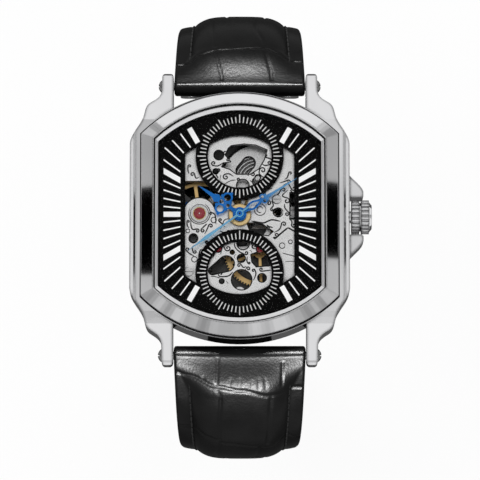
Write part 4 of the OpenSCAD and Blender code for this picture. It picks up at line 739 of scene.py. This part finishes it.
def engrave(verts, faces, path, width):
    """Narrow lines on the plate along a path, with ends that run out to points."""
    for pts in runs_on_plate(path):
        base = len(verts)
        n = len(pts)
        for i, p in enumerate(pts):
            d = (pts[min(i + 1, n - 1)] - pts[max(i - 1, 0)]).normalized()
            side = Vector((-d.y, d.x))
            w = width / 2 * min(1, 0.5 + 4 * min(i, n - 1 - i) / n)
            for q, h in ((-w, 0), (-w * 0.7, LINE_T), (w * 0.7, LINE_T), (w, 0)):
                verts.append((p.x + side.x * q, p.y + side.y * q, PLATE_TOP + h))
        for i in range(n - 1):
            for j in range(3):
                a = base + i * 4 + j
                faces.append([a, a + 4, a + 5, a + 1])


def scroll(cx, cy, r, turn, tail):
    """A spiral that opens into its tail."""
    sign = 1 if turn > 0 else -1
    end = math.degrees(math.atan2(tail[0][1] - cy, tail[0][0] - cx)) - sign * 60
    steps = 26
    pts = []
    for i in range(steps + 1):
        f = i / steps
        a = math.radians(end - turn * (1 - f))
        rr = r * (0.14 + 0.86 * f)
        pts.append((cx + rr * math.cos(a), cy + rr * math.sin(a)))
    return [Vector(p) for p in pts] + smooth_path([pts[-1]] + list(tail))[1:]


def edge_shade_lines(name, verts, faces, low):
    """Painted shade: dark lines along the edges of a node's upper faces, at windows, screws' seats and rims."""
    body = nodes[name]
    ends = {}
    for poly in body.data.polygons:
        if poly.normal.z > 0.9:
            for key in poly.edge_keys:
                ends[key] = ends.get(key, 0) + 1
    for key, n in ends.items():
        a, b = [body.matrix_world @ body.data.vertices[k].co * 1000 for k in key]
        if n == 1 and min(a.z, b.z) > low and a.xy.length < EDGE_REACH and (a - b).length > 1e-4:
            d = (b - a).xy.normalized()
            side = Vector((-d.y, d.x)) * EDGE_HALF
            a2, b2 = a.xy - d * EDGE_OVER, b.xy + d * EDGE_OVER
            base = len(verts)
            for p in (a2 - side, b2 - side, b2 + side, a2 + side):
                verts.append((p.x, p.y, max(a.z, b.z) + EDGE_LIFT))
            faces.append([base, base + 1, base + 2, base + 3])


def seam_and_shade_line(half_w, rise, half_l, width, z):
    """A thin flat line round a barrel-shaped outline, just outside it."""
    end_r = (half_w ** 2 + rise ** 2) / (2 * rise)
    reach = math.asin(half_w / end_r)
    end_steps = 40
    verts = []
    for grow in (0, width):
        for end in (1, -1):
            for k in range(end_steps + 1):
                a = reach * (1 - 2 * k / end_steps)
                r = end_r + grow
                x = max(-half_w - grow, min(half_w + grow, r * math.sin(a))) * end
                verts.append((x, end * (half_l - end_r + r * math.cos(a)), z))
    n = len(verts) // 2
    return verts, [[k, (k + 1) % n, n + (k + 1) % n, n + k] for k in range(n)]


engraving_and_shade_v, engraving_and_shade_f = [], []
for values in SCROLLS:
    engrave(engraving_and_shade_v, engraving_and_shade_f, scroll(*values), SCROLL_W)
for width, pts in CUTS:
    engrave(engraving_and_shade_v, engraving_and_shade_f, smooth_path(pts), width)
# Painted shade along the plate's edges at its windows and seats
edge_shade_lines("main_plate", engraving_and_shade_v, engraving_and_shade_f, PLATE_TOP - 0.02)
for cx, cy, r, first, last in RINGS:
    angles = [math.radians(a) for a in range(first, last + 1, 6)]
    engrave(engraving_and_shade_v, engraving_and_shade_f, [Vector((cx + r * math.cos(a), cy + r * math.sin(a))) for a in angles], RING_W)
edge_v, edge_f = [], []
# Painted shade along the edges of the barrel's top
edge_shade_lines("barrel", edge_v, edge_f, top_of("barrel")[2] - 0.02)
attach(mesh_object("barrel_edge_shade", edge_v, edge_f, ink_and_shade), "barrel_drum")
scrollwork_and_edge_shade = mesh_object("plate_scrollwork_and_edge_shade", engraving_and_shade_v, engraving_and_shade_f, ink_and_shade)
# The dark joint between bezel and mid-case, made wider as painted shade over the land beside it
bezel_seam_and_shade = mesh_object("bezel_seam_and_shade", *seam_and_shade_line(half_w=17.9, rise=7.5, half_l=22.3, width=0.3, z=8.81), ink_and_shade)
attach(bezel_seam_and_shade, "case")
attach(scrollwork_and_edge_shade, "case")


def lathe(name, at, profile, mat, body, open_top=False):
    """A turned piece about a vertical axis at (x, y), from points (radius, z) up to its top."""
    seg = 40
    verts, faces = [], []
    for r, z in profile:
        for k in range(seg):
            a = 2 * math.pi * k / seg
            verts.append((at[0] + r * math.cos(a), at[1] + r * math.sin(a), z))
    for i in range(len(profile) - 1):
        for k in range(seg):
            q = (k + 1) % seg
            faces.append([i * seg + k, i * seg + q, (i + 1) * seg + q, (i + 1) * seg + k])
    if not open_top:
        faces.append([(len(profile) - 1) * seg + k for k in range(seg)])
    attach(mesh_object(name, verts, faces, mat), body)


# The balance's jewel: a ruby dished round its pivot, in a rounded gilt ring with a dark joint
jx, jy, jz = top_of("balance_jewel")
jz = max(jz, top_of("jewel_setting")[2])
lathe("jewel_dome", (jx, jy), [(1.02, jz), (1.0, jz + 0.08), (0.86, jz + 0.15), (0.62, jz + 0.17),
    (0.42, jz + 0.12), (0.26, jz + 0.03)], ruby, "case")
lathe("jewel_rim", (jx, jy), [(1.2, jz + 0.01), (1.16, jz + 0.07), (1.08, jz + 0.07), (1.04, jz + 0.02)],
    gilt, "case", open_top=True)
lathe("jewel_pivot", (jx, jy), [(0.13, jz + 0.035), (0.12, jz + 0.09), (0.07, jz + 0.11)], wheel_steel, "case")
# The end of the seconds arbor in the hub of its hand
hz = top_of("seconds_hand")[2]
lathe("seconds_hub", (0, 0), [(0.5, hz), (0.46, hz + 0.08), (0.36, hz + 0.1), (0.26, hz + 0.03)],
    blued, "fourth_work")
lathe("seconds_pin", (0, 0), [(0.2, hz + 0.02), (0.18, hz + 0.07), (0.12, hz + 0.09)],
    wheel_steel, "fourth_work")


# Light: white surroundings, soft lamps and the studio's grey and black cards
world = bpy.data.worlds.new("studio")
bpy.context.scene.world = world
sky = Tree(world).nodes["Background"]
sky.inputs["Color"].default_value = (1, 1, 1, 1)
sky.inputs["Strength"].default_value = 1.0
CLOUDY = 0.3


def card(name, points, tone):
    """A flat studio panel, on corners in millimetres, that shows only in reflections. Pale ones are cloudy."""
    me = bpy.data.meshes.new(name)
    me.from_pydata([tuple(Vector(p) * MM) for p in points], [], [[0, 1, 2, 3]])
    t = Tree(bpy.data.materials.new(name))
    t.nodes.remove(t.nodes["Principled BSDF"])
    shine = t.new("Emission", Color=grey(tone) + (1,))
    if tone > CLOUDY:
        place = t.new("TexCoord").outputs["Object"]
        cloud = t.new("TexNoise", Vector=place, Scale=10, Detail=0.5).outputs["Fac"]
        t.feed(shine.inputs["Color"], t.ramp(cloud, (0.36, grey(tone * 0.6)), (0.64, grey(tone * 1.25))))
    t.surface(shine)
    me.materials.append(t.owner)
    ob = bpy.data.objects.new(name, me)
    bpy.context.scene.collection.objects.link(ob)
    ob.visible_camera = False
    ob.visible_diffuse = False
    ob.visible_shadow = False
    ob.visible_transmission = False
    return ob


def lamp(name, at, size, power, only=()):
    """A round soft lamp that looks at the watch, and lights only some pieces if they are given."""
    data = bpy.data.lights.new(name, "AREA")
    data.shape = "DISK"
    data.size = size
    data.energy = power
    ob = bpy.data.objects.new(name, data)
    bpy.context.scene.collection.objects.link(ob)
    ob.location = at
    ob.rotation_euler = (-Vector(at)).to_track_quat("-Z", "Y").to_euler()
    if only:
        lit = bpy.data.collections.new(name + "_lit")
        for piece in only:
            lit.objects.link(piece)
        ob.light_linking.receiver_collection = lit
    return ob


# Black panels whose reflections make the stripes on the sides of the bezel, grey ones behind them
card("stripe_left", [(-300, 46.6, -30), (-300, 28.7, -30), (-300, 28.3, 34), (-300, 54, 34)], 0.0)
card("stripe_right", [(300, 46.6, -30), (300, 28.8, -30), (300, 35, 34), (300, 56, 34)], 0.0)
for side in (-1, 1):
    card("side_wall_%d" % side, [(side * 500, -900, -105), (side * 500, 900, -105),
        (side * 500, 900, 260), (side * 500, -900, 260)], 0.56)
card("front_wall", [(-600, -520, -100), (600, -520, -100), (600, -520, 190), (-600, -520, 190)], 0.62)
card("floor_shade", [(-170, -170, -104), (170, -170, -104), (170, 170, -104), (-170, 170, -104)], 0.1)
card("ceiling", [(-260, -300, 900), (260, -300, 900), (260, 420, 900), (-260, 420, 900)], 0.78)
# Black card behind the display back, seen only through the glass
backing = card("backing", [(-13, -13, -1), (13, -13, -1), (13, 13, -1), (-13, 13, -1)], 0.0)
backing.visible_camera = True
t = Tree(backing.data.materials[0])
through = t.calc("GREATER_THAN", t.new("LightPath").outputs["Transparent Depth"], 0.5)
t.surface(t.new("MixShader", through, t.new("BsdfTransparent").outputs[0], t.nodes["Emission"].outputs[0]))

leather_pieces = [upper, lower, fixed_loop, sliding_loop]
lamp("far_light", (0.0, 0.38, 0.7), 0.16, 90.0, leather_pieces)
lamp("near_light", (0.0, -0.57, 0.55), 0.2, 90.0, leather_pieces)
lamp("fill", (-0.4, 0.1, 0.8), 0.5, 1.2).visible_glossy = False

# Pale floor that keeps the watch's shadow. To eye, gloss and glass it is mostly plain white. Seen from
# underneath it is clear, so that the back can be looked at
FLOOR_Z, FLOOR_HALF, FLOOR_WHITE = -0.106, 3, 0.85
t = Finish("floor")
t.set(Base_Color=grey(0.9) + (1,), Roughness=0.9)
ray = t.new("LightPath").outputs
seen = t.calc("MAXIMUM", t.calc("MAXIMUM", ray["Is Camera Ray"], ray["Is Glossy Ray"]), ray["Is Transmission Ray"])
lit = t.new("MixShader", t.calc("MULTIPLY", seen, FLOOR_WHITE), t.shader.outputs[0], t.new("Emission").outputs[0])
below = t.new("NewGeometry").outputs["Backfacing"]
t.surface(t.new("MixShader", below, lit.outputs[0], t.new("BsdfTransparent").outputs[0]))
floor_me = bpy.data.meshes.new("floor")
floor_me.from_pydata([(x * FLOOR_HALF, y * FLOOR_HALF, FLOOR_Z) for x, y in ((-1, -1), (1, -1), (1, 1), (-1, 1))],
    [], [[0, 1, 2, 3]])
floor_me.materials.append(t.owner)
floor = bpy.data.objects.new("floor", floor_me)
bpy.context.scene.collection.objects.link(floor)
